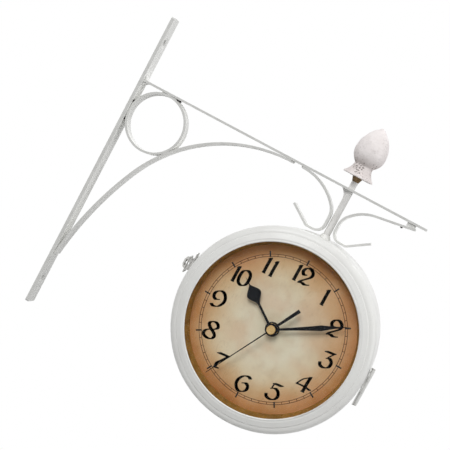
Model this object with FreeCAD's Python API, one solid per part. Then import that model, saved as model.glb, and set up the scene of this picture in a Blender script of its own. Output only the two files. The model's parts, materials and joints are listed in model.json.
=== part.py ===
"""Double sided station clock on a wrought strip bracket, in millimetres.

The origin is the middle of the two wall-screw holes, on the back face of the wall bar.
+X points away from the wall along the arm, +Z is up, and the front dial faces -Y.
The rear face is the front face turned half a turn about the hanger, so both read true.
"""
import FreeCAD, Part
import math
import os

# ---------------------------------------------------------------- wall bar
BAR_LENGTH = 290.0        # height of the bar against the wall
BAR_WIDTH = 16.0          # across the wall
BAR_THICK = 3.0
BAR_CORNER = 1.5          # rounding of the four corners seen from the front of the wall
SCREW_INSET = 24.0        # screw hole centre from each end
SCREW_HOLE_R = 3.25
SCREW_DIMPLE_R = 5.2      # mouth of the pressed countersink
SCREW_DIMPLE_DEPTH = 1.2

# ---------------------------------------------------------------- strip work
STRIP_THICK = 2.0
STRIP_WIDTH = 12.0
ARM_BELOW_TOP = 62.0      # arm's middle plane below the bar's top
ARM_REACH = 285.0         # from the bar's face to the arm's free end
ARM_END_CHAMFER = 1.5
ROOT_FILLET = 5.0         # concave weld above and below the arm's root
RING_R = 27.3             # mean radius of the ring
BRACE_TOP_R = 137.0       # arc under the arm and past the ring
BRACE_TOP_SWEEP = 64.5    # degrees of that arc before the flatter run to the wall
BRACE_FOOT_DROP = 176.0   # foot of the brace below the arm's middle plane
BEAD_R = 1.3              # weld beads in the wedges beside each tangent touch
BEAD_OFFSET = 6.5         # of a bead from the touch, along the strips
BEAD_SETBACK = 1.0        # of a bead's ends from the strip's edges
WELD_LAP = 0.25           # how far a weld bites into the strip it joins

# ---------------------------------------------------------------- hanger
HANGER_REACH = 211.0      # hanger axis from the bar's face
TUBE_R = 3.0
TUBE_ABOVE_ARM = 8.0      # tube's top above the arm's middle plane
ROD_R = 2.0
RUN_GAP = 0.08            # radial running clearance of a turning pin or rod
SEAT_GAP = 0.15           # radial clearance of a piece that is seated and stays
GUSSET_WIDE = 4.6         # weld flare on the tube's wall side, under the arm
GUSSET_TALL = 9.0
GUSSET_THICK = 4.0
GUSSET_HOLLOW_IN = 0.28   # middle of its hollow edge, as shares of its width and height
GUSSET_HOLLOW_DOWN = 0.42
COLLAR_R = 5.2            # foot of the turned collar between tube and case
COLLAR_TOP_R = 3.7
COLLAR_HEIGHT = 3.2
CASE_BELOW_ARM = 47.4     # crown of the case below the arm's middle plane

# ---------------------------------------------------------------- scrolls
SCROLL_GAP = 1.2          # between a scroll and the tube
SCROLL_MID_R = 16.0       # bend beside the tube
SCROLL_TURN = 50.0        # heading, degrees below level, where that bend starts
INNER_TOP_R = 48.0        # inner scroll leaves the arm on this arc
OUTER_TOP_R = 34.0        # outer scroll's upper arc
OUTER_LEAD_SLOPE = 9.0    # degrees, its straight lead to the arm's end
LEAD_INSET = 8.6          # end of the lead short of the arm's free end
OUTER_LEAD_DIP = 2.4      # gap under the arm where the lead ends, filled by the weld
FOOT_CLEAR = 1.4          # scroll feet above the crown of the case
FOOT_R = 8.0
FOOT_FLAT = 5.5
TAIL_BEND_R = 3.0
TAIL_RISE = 34.0          # degrees above level
TAIL_LENGTH = 21.0
LEAD_WELD_LENGTH = 9.0

# ---------------------------------------------------------------- case
CASE_R = 89.0
CASE_HALF_DEPTH = 36.0    # middle plane to the lip's front
SEAM_BEHIND = 9.2         # seam of the opening door, behind the dial's retaining ring
SHEET = 1.2               # pressed sheet of the case
BEZEL_WIDTH = 14.0        # drum's side to the clear opening
LIP_BEAD_WIDTH = 1.5
LIP_BEAD_HEIGHT = 0.5
FACE_FLAT = 3.0           # flat of the bezel's face beyond the opening, over the glass
FACE_STEP = 0.6           # width of the small step between face and shoulder
FACE_FALL = 1.3
STEP_FALL = 0.9
SHOULDER_R = 6.2          # rounded shoulder between face and drum
RIM_LAP = 2.0             # rear case's inner rim inside the door
RIM_THICK = 1.0
RIM_GAP = 0.4
GLASS_THICK = 2.0
GLASS_LAP = 2.4           # glass beyond the opening
SPACER_DEPTH = 8.3        # glass to dial
SPACER_TAPER = 2.4        # how much narrower the spacer is at the dial
SPACER_MOUTH_SETBACK = 0.2
DIAL_THICK = 0.8
DIAL_EDGE_GAP = 0.4
RETAINER_THICK = 2.0
RETAINER_WIDE = 3.0

# ---------------------------------------------------------------- movement
MOVEMENT_SIDE = 56.0
MOVEMENT_DEPTH = 15.2
MOVEMENT_CORNER_R = 5.0
BUSHING_R = 3.9
BUSHING_STAND = 3.2       # above the dial
NUT_FLATS = 9.8
NUT_THICK = 2.0
WASHER_R = 6.4
WASHER_THICK = 0.6
HOUR_ARBOR_R = 2.6
HOUR_ARBOR_WALL = 0.8
MINUTE_ARBOR_WALL = 1.0
ARBOR_GAP = 0.05
ARBOR_IN_CASE = 9.0       # of each arbor's tail behind the dial
ARBOR_TAIL_STEP = 1.2     # each inner arbor reaches this much deeper
HAND_THICK = 0.5
HOUR_HAND_STAND = 3.9     # hand's back face above the dial
HAND_PITCH = 1.5          # from one hand to the next
BATTERY_R = 7.1
BATTERY_LENGTH = 49.2
BATTERY_NUB_R = 2.75
BATTERY_NUB = 1.2
BAY_GAP = 0.3
BAY_FLOOR = 0.6
BAY_DROP = 19.2           # battery's axis below the hand axis
CONTACT_THICK = 0.5
CONTACT_SIDE = 9.0
KNOB_RISE = 7.0           # setting knob's axis above the hand axis
KNOB_R = 5.0
KNOB_STAND = 2.4
KNOB_STEM_R = 1.6
KNOB_STEM = 4.0
KNOB_FLUTES = 14
KNOB_FLUTE_R = 0.55

# ---------------------------------------------------------------- hands
HAND_INSET = 7.0          # tips of the two long hands inside the bezel's opening
HOUR_SHORTER = 18.0       # hour hand than minute hand
HOUR_BOSS_R = 4.6
HOUR_STEM = 2.0
SPADE_FROM_TIP = 16.0
SPADE_WIDE = 12.9
SPADE_NECK = 9.0          # below the spade's middle, where the stem swells
SPADE_POINT = 8.5         # above it, where the long tip begins
SPADE_LOW_WIDE = 0.62     # shares of the spade's width, and of the way to neck and point,
SPADE_LOW_AT = 0.52       # that its curve passes below and above the widest place
SPADE_HIGH_WIDE = 0.66
SPADE_HIGH_AT = 0.45
TIP_WIDE = 1.0
MINUTE_BOSS_R = 5.35
MINUTE_STEM = 1.8
LANCE_FROM_TIP = 25.0
LANCE_WIDE = 4.8
LANCE_LOW_WIDE = 0.42     # share of stem and lance together, at a share of the way out
LANCE_LOW_AT = 0.55
LANCE_HIGH_WIDE = 0.36    # share of the lance's width, halfway to the tip
SECOND_WIDE = 1.2
SECOND_TAIL = 29.6
SECOND_TAIL_WIDE = 3.2
SECOND_TAIL_ROOT = 1.9
SECOND_BOSS_R = 2.6
CAP_R = 4.0
CAP_THICK = 0.7
SHOWN_MINUTES = 9.8       # past ten o'clock
SHOWN_SECONDS = 34.7
SHOWN_HOUR = 10

# ---------------------------------------------------------------- hinge
HINGE_LENGTH = 34.0
HINGE_DROP = 6.0          # hinge's middle below the case centre
HINGE_BARREL_R = 2.0
HINGE_PIN_R = 1.0
HINGE_PIN_HEAD_R = 1.7
HINGE_PIN_HEAD = 0.8
LEAF_THICK = 0.8
LEAF_WIDE = 11.0          # from the barrel's axis
LEAF_STAND = 0.05         # flat leaf off the drum, at the touch
KNUCKLES = 3
KNUCKLE_GAP = 0.3
LEAF_CORNER_R = 2.0
RIVET_R = 1.0
RIVET_HEAD_R = 1.9
RIVET_HEAD = 0.7
HINGE_RIVET_SPREAD = 6.0  # of the rivets above and below the case centre
RIVET_IN_LEAF = 7.0       # from the barrel's axis

# ---------------------------------------------------------------- latch
LATCH_RISE = 12.0         # latch's middle above the case centre
LATCH_SHEET = 0.8
BASE_WIDE = 13.0
BASE_BACK = 17.0          # behind the seam
BASE_FRONT = 2.0
EAR_SPAN = 9.4            # across the base's ears, which stand inside the lever's cheeks
LEG_GAP = 0.3             # between the bail's legs and the pivots' heads
PIVOT_HEAD_R = 1.2
PIVOT_HEAD = 0.5
EAR_HEIGHT = 4.3
PIVOT_BACK = 7.0          # lever pivot behind the seam
PIVOT_STAND = 3.0         # and above the plate's underside
PIVOT_R = 0.7
CRANK = 3.2               # lever pivot to bail pivot
CRANK_SHUT = -10.0        # crank's angle from straight back, when shut
LEVER_OPEN = 95.0         # lever stands this far out of its shut place, as photographed
LEVER_WIDE = 11.4
LEVER_LENGTH = 7.4        # pivot to finger tip
LEVER_ROOF = 2.4          # roof above the pivot, when shut
LEVER_NOSE = 0.2          # roof ahead of the pivot
LEVER_HOLE_R = 1.6
LEVER_HOLE_AT = 4.3       # from the pivot
LEVER_TIP_CURL_R = 1.3
BAIL_WIRE_R = 0.6
BAIL_SHUT = 181.0         # bail's heading when shut, straight ahead is 180
BAIL_OPEN = 186.0         # and standing clear of the hook, as photographed
HOOK_AHEAD = 4.5          # the bail's cross wire ahead of the seam, when shut
HOOK_TALL = 3.1
HOOK_GAP = 0.2
KEEPER_WIDE = 27.0
KEEPER_AHEAD = 8.0        # keeper plate's edges ahead of the seam
KEEPER_NEAR = 1.0
HOOK_WIDE = 3.8
KEEPER_RIVET_SPREAD = 10.4
BASE_RIVET_BACK = 13.4    # behind the seam
BASE_RIVET_SPREAD = 3.4

# ---------------------------------------------------------------- finial and rod ends
SOCKET_HEIGHT = 4.4
SOCKET_TOP_R = 4.7
FINIAL_BASE_R = 14.3
FINIAL_RIM = 1.8
FINIAL_WAIST_R = 8.6
FINIAL_WAIST_AT = 11.5
FINIAL_BULB_R = 14.6
FINIAL_BULB_AT = 23.5
FINIAL_HEIGHT = 47.5
FINIAL_TIP_R = 3.6        # ball of the blunt tip
FINIAL_CROWN_TURN = 58.0  # degrees of that ball each side of the top
FINIAL_RIM_DRAW = 0.6     # top of the foot's rim inside its edge
FINIAL_FOOT_BOW = -1.1    # how far each length of the outline bows out from its chord
FINIAL_LOWER_BOW = 1.5
FINIAL_UPPER_BOW = 2.9
ROD_IN_FINIAL = 14.0
ROD_IN_CASE = 13.0
ROD_WASHER_R = 6.0
ROD_WASHER_THICK = 1.0
ROD_NUT_FLATS = 7.0
ROD_NUT_THICK = 3.2

# ---------------------------------------------------------------- worked-out places
V = FreeCAD.Vector
X_AXIS = V(1, 0, 0)
Y_AXIS = V(0, 1, 0)
Z_AXIS = V(0, 0, 1)
SCREW_Z = BAR_LENGTH / 2 - SCREW_INSET
ARM_Z = BAR_LENGTH / 2 - ARM_BELOW_TOP
HALF = STRIP_THICK / 2
STRIP_EDGE = STRIP_WIDTH / 2
HANGER_X = BAR_THICK + HANGER_REACH
CASE_TOP = ARM_Z - CASE_BELOW_ARM
CASE_Z = CASE_TOP - CASE_R
RING_OUT = RING_R + HALF
RING_X = BAR_THICK + RING_OUT
RING_Z = ARM_Z - HALF - RING_OUT
OPENING_R = CASE_R - BEZEL_WIDTH
FACE_R = CASE_R - SHOULDER_R - FACE_STEP
MINUTE_LENGTH = OPENING_R - HAND_INSET
SECOND_LENGTH = MINUTE_LENGTH
HOUR_LENGTH = MINUTE_LENGTH - HOUR_SHORTER
SPADE_AT = HOUR_LENGTH - SPADE_FROM_TIP
LANCE_AT = MINUTE_LENGTH - LANCE_FROM_TIP
GLASS_D = LIP_BEAD_HEIGHT + SHEET
SPACER_D = GLASS_D + GLASS_THICK
DIAL_D = SPACER_D + SPACER_DEPTH
DIAL_BACK_D = DIAL_D + DIAL_THICK
SEAM_D = DIAL_BACK_D + RETAINER_THICK + SEAM_BEHIND
SEAM_Y = SEAM_D - CASE_HALF_DEPTH
PIN_X = HANGER_X + CASE_R + LEAF_STAND + HINGE_BARREL_R
HINGE_Z = CASE_Z - HINGE_DROP
LATCH_Z = CASE_Z + LATCH_RISE
LEVER_CORNER_R = LEVER_LENGTH / 3


# ---------------------------------------------------------------- small helpers
def cylinder(radius, height, base, direction=Z_AXIS):
    return Part.makeCylinder(radius, height, base, direction)


def block(low, high):
    return Part.makeBox(high.x - low.x, high.y - low.y, high.z - low.z, low)


def face_of(edges):
    return Part.Face(Part.Wire(edges))


def line(a, b):
    return Part.LineSegment(a, b).toShape()


def arc(a, middle, b):
    return Part.Arc(a, middle, b).toShape()


def polygon(points):
    return face_of([line(a, b) for a, b in zip(points, points[1:] + points[:1])])


def about_case(shape, degrees):
    """Turns a shape clockwise as seen from the front, about the case's centre line."""
    copy = shape.copy()
    copy.rotate(V(HANGER_X, 0, CASE_Z), Y_AXIS, degrees)
    return copy


def other_side(shape):
    """The rear face's copy: half a turn about the hanger."""
    copy = shape.copy()
    copy.rotate(V(HANGER_X, 0, 0), Z_AXIS, 180)
    return copy


def front_y(depth):
    """Y of a place that lies this deep behind the front lip."""
    return depth - CASE_HALF_DEPTH


def disc(radius, depth, thick, bore=0.0):
    """A round plate about the hand axis, its front at a depth behind the lip."""
    plate = cylinder(radius, thick, V(HANGER_X, front_y(depth), CASE_Z), Y_AXIS)
    if bore:
        hole = cylinder(bore, thick, V(HANGER_X, front_y(depth), CASE_Z), Y_AXIS)
        plate = plate.cut(hole)
    return plate


def hexagon(flats, height, base, direction):
    """A hexagonal prism that stands on a point, along a direction."""
    corner = flats / math.sqrt(3)
    points = [V(corner * math.cos(math.radians(60 * k)), corner * math.sin(math.radians(60 * k)), 0)
              for k in range(6)]
    prism = polygon(points).extrude(V(0, 0, height))
    prism.Placement = FreeCAD.Placement(base, FreeCAD.Rotation(Z_AXIS, direction))
    return prism


# ---------------------------------------------------------------- strip along a path
def strip_along(points, width=STRIP_WIDTH):
    """A flat strip whose middle line runs through (x, z) pieces of line and arc.

    points is a list of ("line", end) and ("arc", middle, end) steps after a first start point.
    Each step's two sides are offset curves, so the strip keeps its thickness round a bend.
    """
    start, steps = points[0], points[1:]
    solids = []
    for step in steps:
        end = step[-1]
        if step[0] == "line":
            along = (end - start).normalize()
            side = V(-along.z, 0, along.x) * HALF
            outline = polygon([start + side, end + side, end - side, start - side])
        else:
            outline = arc_strip(start, step[1], end)
        solid = outline.extrude(V(0, width, 0))
        solid.translate(V(0, -width / 2, 0))
        solids.append(solid)
        start = end
    return fused(solids)


def arc_strip(start, middle, end):
    """The face between two arcs either side of the arc through three points."""
    centre = arc(start, middle, end).Curve.Center

    def moved(point, step):
        return point + (point - centre).normalize() * step

    outer = arc(moved(start, HALF), moved(middle, HALF), moved(end, HALF))
    inner = arc(moved(end, -HALF), moved(middle, -HALF), moved(start, -HALF))
    return face_of([outer, line(moved(end, HALF), moved(end, -HALF)), inner,
                    line(moved(start, -HALF), moved(start, HALF))])


def fused(solids):
    """One solid from several that touch or overlap."""
    whole = solids[0]
    if len(solids) > 1:
        whole = whole.fuse(solids[1:])
    whole = whole.removeSplitter()
    return whole.Solids[0] if len(whole.Solids) == 1 else whole


def on_circle(centre, radius, degrees):
    """The point of an XZ circle at an angle from +X towards +Z."""
    turn = math.radians(degrees)
    return V(centre.x + radius * math.cos(turn), 0, centre.z + radius * math.sin(turn))


# ---------------------------------------------------------------- bracket
def wall_bar():
    """Flat bar with rounded corners and two dimpled screw holes."""
    half_width = BAR_WIDTH / 2
    bar = block(V(0, -half_width, -BAR_LENGTH / 2), V(BAR_THICK, half_width, BAR_LENGTH / 2))
    corners = [edge for edge in bar.Edges
               if abs(edge.Curve.Direction.x) > 0.9 and abs(edge.Vertexes[0].Y) > half_width - 0.01]
    bar = bar.makeFillet(BAR_CORNER, corners)
    for z in (-SCREW_Z, SCREW_Z):
        bar = bar.cut(cylinder(SCREW_HOLE_R, BAR_THICK, V(0, 0, z), X_AXIS))
        dimple = Part.makeCone(SCREW_HOLE_R, SCREW_DIMPLE_R, SCREW_DIMPLE_DEPTH,
                               V(BAR_THICK - SCREW_DIMPLE_DEPTH, 0, z), X_AXIS)
        bar = bar.cut(dimple)
    return bar


def root_weld(side):
    """Concave weld between the bar's face and the arm, above (1) or below (-1) it."""
    corner = V(BAR_THICK, 0, ARM_Z + side * HALF)
    foot = corner + V(ROOT_FILLET, 0, 0)
    head = corner + V(0, 0, side * ROOT_FILLET)
    centre = corner + V(ROOT_FILLET, 0, side * ROOT_FILLET)
    hollow = on_circle(centre, ROOT_FILLET, -90 * side - 45 * side)
    lap = V(0, 0, -side * HALF)
    weld = face_of([line(corner + lap, foot + lap), line(foot + lap, foot), arc(foot, hollow, head),
                    line(head, corner), line(corner, corner + lap)])
    weld = weld.extrude(V(0, STRIP_WIDTH - 2 * BEAD_SETBACK, 0))
    weld.translate(V(0, BEAD_SETBACK - STRIP_EDGE, 0))
    return weld


def arm_bar():
    """Straight strip from the bar to its chamfered free end, bored for the hanger tube."""
    low = V(BAR_THICK, -STRIP_EDGE, ARM_Z - HALF)
    arm = block(low, V(BAR_THICK + ARM_REACH, STRIP_EDGE, ARM_Z + HALF))
    tips = [edge for edge in arm.Edges
            if abs(edge.Curve.Direction.z) > 0.9 and edge.Vertexes[0].X > HANGER_X]
    arm = arm.makeChamfer(ARM_END_CHAMFER, tips)
    arm = fused([arm, root_weld(1), root_weld(-1)])
    return arm.cut(cylinder(TUBE_R, STRIP_THICK, V(HANGER_X, 0, ARM_Z - HALF)))


def weld_bead(x, z):
    """A short round bead across the strips, trimmed where a neighbour's metal is."""
    length = STRIP_WIDTH - 2 * BEAD_SETBACK
    return cylinder(BEAD_R, length, V(x, -length / 2, z), Y_AXIS)


def ring():
    """Rolled strip ring with weld beads in its wedges beside the bar and the arm."""
    low = V(RING_X, -STRIP_EDGE, RING_Z)
    hoop = cylinder(RING_OUT, STRIP_WIDTH, low, Y_AXIS)
    gap = math.sqrt(RING_OUT ** 2 - BEAD_OFFSET ** 2)
    depth = (RING_OUT - gap) / 2
    beads = []
    for side in (-1, 1):
        beads.append(weld_bead(BAR_THICK + depth, RING_Z + side * BEAD_OFFSET))
        beads.append(weld_bead(RING_X + side * BEAD_OFFSET, ARM_Z - HALF - depth))
    hoop = fused([hoop] + beads)
    hoop = hoop.cut(cylinder(RING_R - HALF, STRIP_WIDTH, low, Y_AXIS))
    edge = STRIP_WIDTH
    hoop = hoop.cut(block(V(0, -edge, RING_Z - RING_R), V(BAR_THICK, edge, RING_Z + RING_R)))
    return hoop.cut(block(V(0, -edge, ARM_Z - HALF), V(HANGER_X, edge, ARM_Z + RING_R)))


def brace_centre():
    """Centre of the brace's upper arc: under the arm, with the ring just touching outside."""
    z = ARM_Z - 2 * HALF - BRACE_TOP_R
    between = BRACE_TOP_R + HALF + RING_OUT
    x = RING_X + math.sqrt(between ** 2 - (RING_Z - z) ** 2)
    return V(x, 0, z)


def tangent_arc_middle(start, heading, end):
    """Middle of the arc that leaves start along heading and reaches end."""
    chord = end - start
    normal = V(-heading.z, 0, heading.x)
    radius = chord.dot(chord) / (2 * chord.dot(normal))
    centre = start + normal * radius
    halfway = (start + end) * 0.5 - centre
    return centre + halfway.normalize() * abs(radius)


def brace():
    """Curved strip from under the arm, past the ring, to a lapped foot on the wall bar."""
    centre = brace_centre()
    top = on_circle(centre, BRACE_TOP_R, 90)
    knee = on_circle(centre, BRACE_TOP_R, 90 + BRACE_TOP_SWEEP)
    halfway = on_circle(centre, BRACE_TOP_R, 90 + BRACE_TOP_SWEEP / 2)
    turn = math.radians(BRACE_TOP_SWEEP)
    heading = V(-math.cos(turn), 0, -math.sin(turn))
    foot = V(BAR_THICK + HALF, 0, ARM_Z - BRACE_FOOT_DROP)
    strip = strip_along([top, ("arc", halfway, knee),
                         ("arc", tangent_arc_middle(knee, heading, foot), foot)])
    toe = block(V(BAR_THICK, -STRIP_EDGE, foot.z - HALF), V(foot.x + HALF, STRIP_EDGE, foot.z + HALF))
    lump = weld_bead(top.x + HALF, ARM_Z - HALF - BEAD_R / 2)
    strip = fused([strip, toe, lump])
    edge = STRIP_WIDTH
    strip = strip.cut(block(V(-edge, -edge, -BAR_LENGTH), V(BAR_THICK, edge, BAR_LENGTH)))
    return strip.cut(block(V(0, -edge, ARM_Z - HALF), V(HANGER_X, edge, ARM_Z + edge)))


def scroll(side, outer):
    """A scroll beside the tube: top arc, bend, flat foot over the case and a raised tail.

    side is -1 towards the wall and 1 away from it. It is drawn on the +X side and mirrored.
    """
    inner_x = TUBE_R + SCROLL_GAP + HALF
    foot_z = CASE_TOP + FOOT_CLEAR + HALF
    top_r = OUTER_TOP_R if outer else INNER_TOP_R
    first = OUTER_LEAD_SLOPE if outer else 0.0
    reach = top_r - SCROLL_MID_R
    turn = math.radians(SCROLL_TURN)
    slope = math.radians(first)
    mid_x = inner_x + SCROLL_MID_R
    top_x = mid_x + reach * math.sin(turn)
    lead_end = BAR_THICK + ARM_REACH - LEAD_INSET - HANGER_X
    run = lead_end - top_x + top_r * math.sin(slope)
    dip = OUTER_LEAD_DIP + run * math.tan(slope) if outer else 0.0
    top_centre_z = ARM_Z - 2 * HALF - dip - top_r * math.cos(slope)
    mid_centre = V(mid_x, 0, top_centre_z + reach * math.cos(turn))
    top_centre = V(top_x, 0, top_centre_z)
    start = on_circle(top_centre, top_r, 90 + first)
    bend = on_circle(top_centre, top_r, 90 + SCROLL_TURN)
    upright = on_circle(mid_centre, SCROLL_MID_R, 180)
    foot_centre = V(inner_x + FOOT_R, 0, foot_z + FOOT_R)
    foot_bend = V(inner_x, 0, foot_centre.z)
    heel = V(foot_centre.x, 0, foot_z)
    toe = V(heel.x + FOOT_FLAT, 0, foot_z)
    tail_centre = V(toe.x, 0, toe.z + TAIL_BEND_R)
    tail = on_circle(tail_centre, TAIL_BEND_R, TAIL_RISE - 90)
    rise = math.radians(TAIL_RISE)
    tip = tail + V(math.cos(rise), 0, math.sin(rise)) * TAIL_LENGTH
    path = [("arc", on_circle(top_centre, top_r, 90 + (first + SCROLL_TURN) / 2), bend),
            ("arc", on_circle(mid_centre, SCROLL_MID_R, 90 + (SCROLL_TURN + 90) / 2), upright),
            ("line", foot_bend), ("arc", on_circle(foot_centre, FOOT_R, 225), heel), ("line", toe),
            ("arc", on_circle(tail_centre, TAIL_BEND_R, TAIL_RISE / 2 - 90), tail), ("line", tip)]
    if outer:
        lead = start + V(run, 0, run * math.tan(slope))
        path = [lead, ("line", start)] + path
    else:
        path = [start] + path
    strip = strip_along(path)
    weld_x = path[0].x
    if outer:
        strip = fused([strip, lead_weld(weld_x)])
    else:
        strip = fused([strip, weld_bead(weld_x, ARM_Z - HALF - BEAD_R / 2)])
    strip = strip.cut(block(V(-STRIP_WIDTH, -STRIP_WIDTH, ARM_Z - HALF),
                            V(ARM_REACH, STRIP_WIDTH, ARM_Z + STRIP_WIDTH)))
    if side < 0:
        strip = strip.mirror(V(0, 0, 0), X_AXIS)
    strip.translate(V(HANGER_X, 0, 0))
    return strip


def lead_weld(end_x):
    """The weld that fills the narrow gap between the outer scroll's lead and the arm."""
    bottom = ARM_Z - 2 * HALF - OUTER_LEAD_DIP
    low = V(end_x - LEAD_WELD_LENGTH, BEAD_SETBACK - STRIP_EDGE, bottom)
    return block(low, V(end_x - BEAD_SETBACK, STRIP_EDGE - BEAD_SETBACK, ARM_Z - HALF))


def hanger_tube():
    """Tube through the arm, with the weld flare under the arm on its wall side."""
    foot = CASE_TOP + COLLAR_HEIGHT
    top = ARM_Z + TUBE_ABOVE_ARM
    tube = cylinder(TUBE_R, top - foot, V(HANGER_X, 0, foot))
    under = ARM_Z - HALF
    outer = V(HANGER_X - GUSSET_WIDE - TUBE_R, 0, under)
    root = V(HANGER_X, 0, under)
    low = V(HANGER_X, 0, under - GUSSET_TALL)
    lowest = V(HANGER_X - TUBE_R + WELD_LAP, 0, under - GUSSET_TALL)
    hollow = V(HANGER_X - TUBE_R - GUSSET_WIDE * GUSSET_HOLLOW_IN, 0,
               under - GUSSET_TALL * GUSSET_HOLLOW_DOWN)
    flare = face_of([line(outer, root), line(root, low), line(low, lowest), arc(lowest, hollow, outer)])
    flare = flare.extrude(V(0, GUSSET_THICK, 0))
    flare.translate(V(0, -GUSSET_THICK / 2, 0))
    tube = fused([tube, flare])
    return tube.cut(cylinder(ROD_R + RUN_GAP, top - foot, V(HANGER_X, 0, foot)))


# ---------------------------------------------------------------- case
def turned(profile):
    """A solid of revolution about the hand axis from (radius, depth) steps.

    Each entry is a point, or a pair of points for an arc's middle and end.
    """
    def place(pair):
        return V(HANGER_X + pair[0], front_y(pair[1]), CASE_Z)

    start = place(profile[0])
    here = start
    edges = []
    for step in profile[1:]:
        if isinstance(step[0], tuple):
            edges.append(arc(here, place(step[0]), place(step[1])))
            here = place(step[1])
        else:
            edges.append(line(here, place(step)))
            here = place(step)
    edges.append(line(here, start))
    return face_of(edges).revolve(V(HANGER_X, 0, CASE_Z), Y_AXIS, 360)


def case_half(depth):
    """Pressed drum half: beaded lip, sloping face, step, round shoulder and straight wall."""
    shoulder_r = CASE_R - SHOULDER_R
    step_d = LIP_BEAD_HEIGHT + FACE_FALL + STEP_FALL
    centre_d = step_d + SHOULDER_R
    cut = math.sqrt(0.5)
    inside = SHOULDER_R - SHEET
    flat_r = OPENING_R + FACE_FLAT
    bead_r = OPENING_R + LIP_BEAD_WIDTH / 2
    shell = turned([
        (OPENING_R, GLASS_D), (OPENING_R, LIP_BEAD_HEIGHT),
        ((bead_r, 0.0), (OPENING_R + LIP_BEAD_WIDTH, LIP_BEAD_HEIGHT)),
        (flat_r, LIP_BEAD_HEIGHT), (FACE_R, LIP_BEAD_HEIGHT + FACE_FALL), (shoulder_r, step_d),
        ((shoulder_r + SHOULDER_R * cut, centre_d - SHOULDER_R * cut), (CASE_R, centre_d)),
        (CASE_R, depth), (CASE_R - SHEET, depth), (CASE_R - SHEET, centre_d),
        (shoulder_r + inside * cut, centre_d - inside * cut), (shoulder_r, step_d + SHEET),
        (flat_r, GLASS_D)])
    return shell


def rim():
    """Register rim inside the seam, a step smaller than the drum, reaching into the door."""
    outer = CASE_R - SHEET - RIM_GAP
    inner = outer - RIM_THICK
    wall = CASE_R - SHEET
    return turned([(outer, SEAM_D - RIM_LAP), (outer, SEAM_D + RIM_LAP), (wall, SEAM_D + RIM_LAP),
                   (wall, SEAM_D + 2 * RIM_LAP), (inner, SEAM_D + 2 * RIM_LAP), (inner, SEAM_D - RIM_LAP)])


def rear_rivets():
    """(side, y, z) of each rivet through the rear case: two in the hinge, two in the latch."""
    hinge = [(1, SEAM_Y + RIVET_IN_LEAF, CASE_Z - HINGE_RIVET_SPREAD),
             (1, SEAM_Y + RIVET_IN_LEAF, CASE_Z + HINGE_RIVET_SPREAD)]
    latch = [(-1, SEAM_Y + BASE_RIVET_BACK, LATCH_Z + way * BASE_RIVET_SPREAD) for way in (-1, 1)]
    return hinge + latch


def front_rivets():
    """(side, y, z) of each rivet through the door: two in the hinge, two in the keeper."""
    hinge = [(1, SEAM_Y - RIVET_IN_LEAF, CASE_Z - HINGE_RIVET_SPREAD),
             (1, SEAM_Y - RIVET_IN_LEAF, CASE_Z + HINGE_RIVET_SPREAD)]
    middle = SEAM_Y - (KEEPER_AHEAD + KEEPER_NEAR) / 2
    keeper = [(-1, middle, LATCH_Z + way * KEEPER_RIVET_SPREAD) for way in (-1, 1)]
    return hinge + keeper


def rivet_holes(rivets):
    """Clearance cylinders for a set of rivets, to cut from sheet and plates."""
    reach = 4 * RIVET_HEAD_R
    return [cylinder(RIVET_R, 2 * reach, V(HANGER_X + side * (CASE_R - reach), y, z), X_AXIS * side)
            for side, y, z in rivets]


def rivet(side, y, z, stack):
    """A rivet from inside the sheet to a domed head on a plate of the given thickness."""
    off_centre = abs(z - CASE_Z) + RIVET_HEAD_R
    inside = math.sqrt((CASE_R - SHEET) ** 2 - off_centre ** 2)
    outer = CASE_R + LEAF_STAND + stack
    shank = cylinder(RIVET_R, outer - inside + RIVET_HEAD, V(inside - RIVET_HEAD, 0, 0), X_AXIS)
    tail = cylinder(RIVET_HEAD_R, RIVET_HEAD, V(inside - RIVET_HEAD - WELD_LAP, 0, 0), X_AXIS)
    dome_r = (RIVET_HEAD_R ** 2 + RIVET_HEAD ** 2) / (2 * RIVET_HEAD)
    dome = Part.makeSphere(dome_r, V(outer + RIVET_HEAD - dome_r, 0, 0))
    keep = cylinder(RIVET_HEAD_R, RIVET_HEAD, V(outer, 0, 0), X_AXIS)
    whole = fused([shank, tail, dome.common(keep)])
    if side < 0:
        whole = whole.mirror(V(0, 0, 0), X_AXIS)
    whole.translate(V(HANGER_X, y, z))
    return whole


def rear_case():
    """Deep half with the rear bezel, the hanger's hole and the register rim."""
    shell = other_side(case_half(2 * CASE_HALF_DEPTH - SEAM_D))
    shell = fused([shell, rim()])
    shell = shell.cut(cylinder(ROD_R + SEAT_GAP, 2 * COLLAR_R, V(HANGER_X, 0, CASE_TOP - COLLAR_R)))
    return shell.cut(rivet_holes(rear_rivets()))


def front_case():
    """Shallow opening half, the door, with the front bezel."""
    shell = case_half(SEAM_D)
    return shell.cut(rivet_holes(front_rivets()))


# ---------------------------------------------------------------- face: glass, spacer, dial
def glass():
    return disc(OPENING_R + GLASS_LAP, GLASS_D, GLASS_THICK)


def spacer_ring():
    """Gilt ring that narrows from the glass to the dial."""
    mouth = OPENING_R + SPACER_MOUTH_SETBACK
    outer = OPENING_R + GLASS_LAP
    return turned([(mouth, SPACER_D), (outer, SPACER_D), (outer, DIAL_D),
                   (OPENING_R - SPACER_TAPER, DIAL_D)])


def dial():
    return disc(CASE_R - SHEET - DIAL_EDGE_GAP, DIAL_D, DIAL_THICK, BUSHING_R + SEAT_GAP)


def retaining_ring():
    """Split spring ring that holds the dial against the spacer."""
    outer = CASE_R - SHEET - SEAT_GAP
    whole = disc(outer, DIAL_BACK_D, RETAINER_THICK, outer - RETAINER_WIDE)
    gap = block(V(HANGER_X - RETAINER_WIDE, -CASE_HALF_DEPTH, CASE_Z - CASE_R),
                V(HANGER_X + RETAINER_WIDE, 0, CASE_Z))
    return whole.cut(gap)


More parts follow.
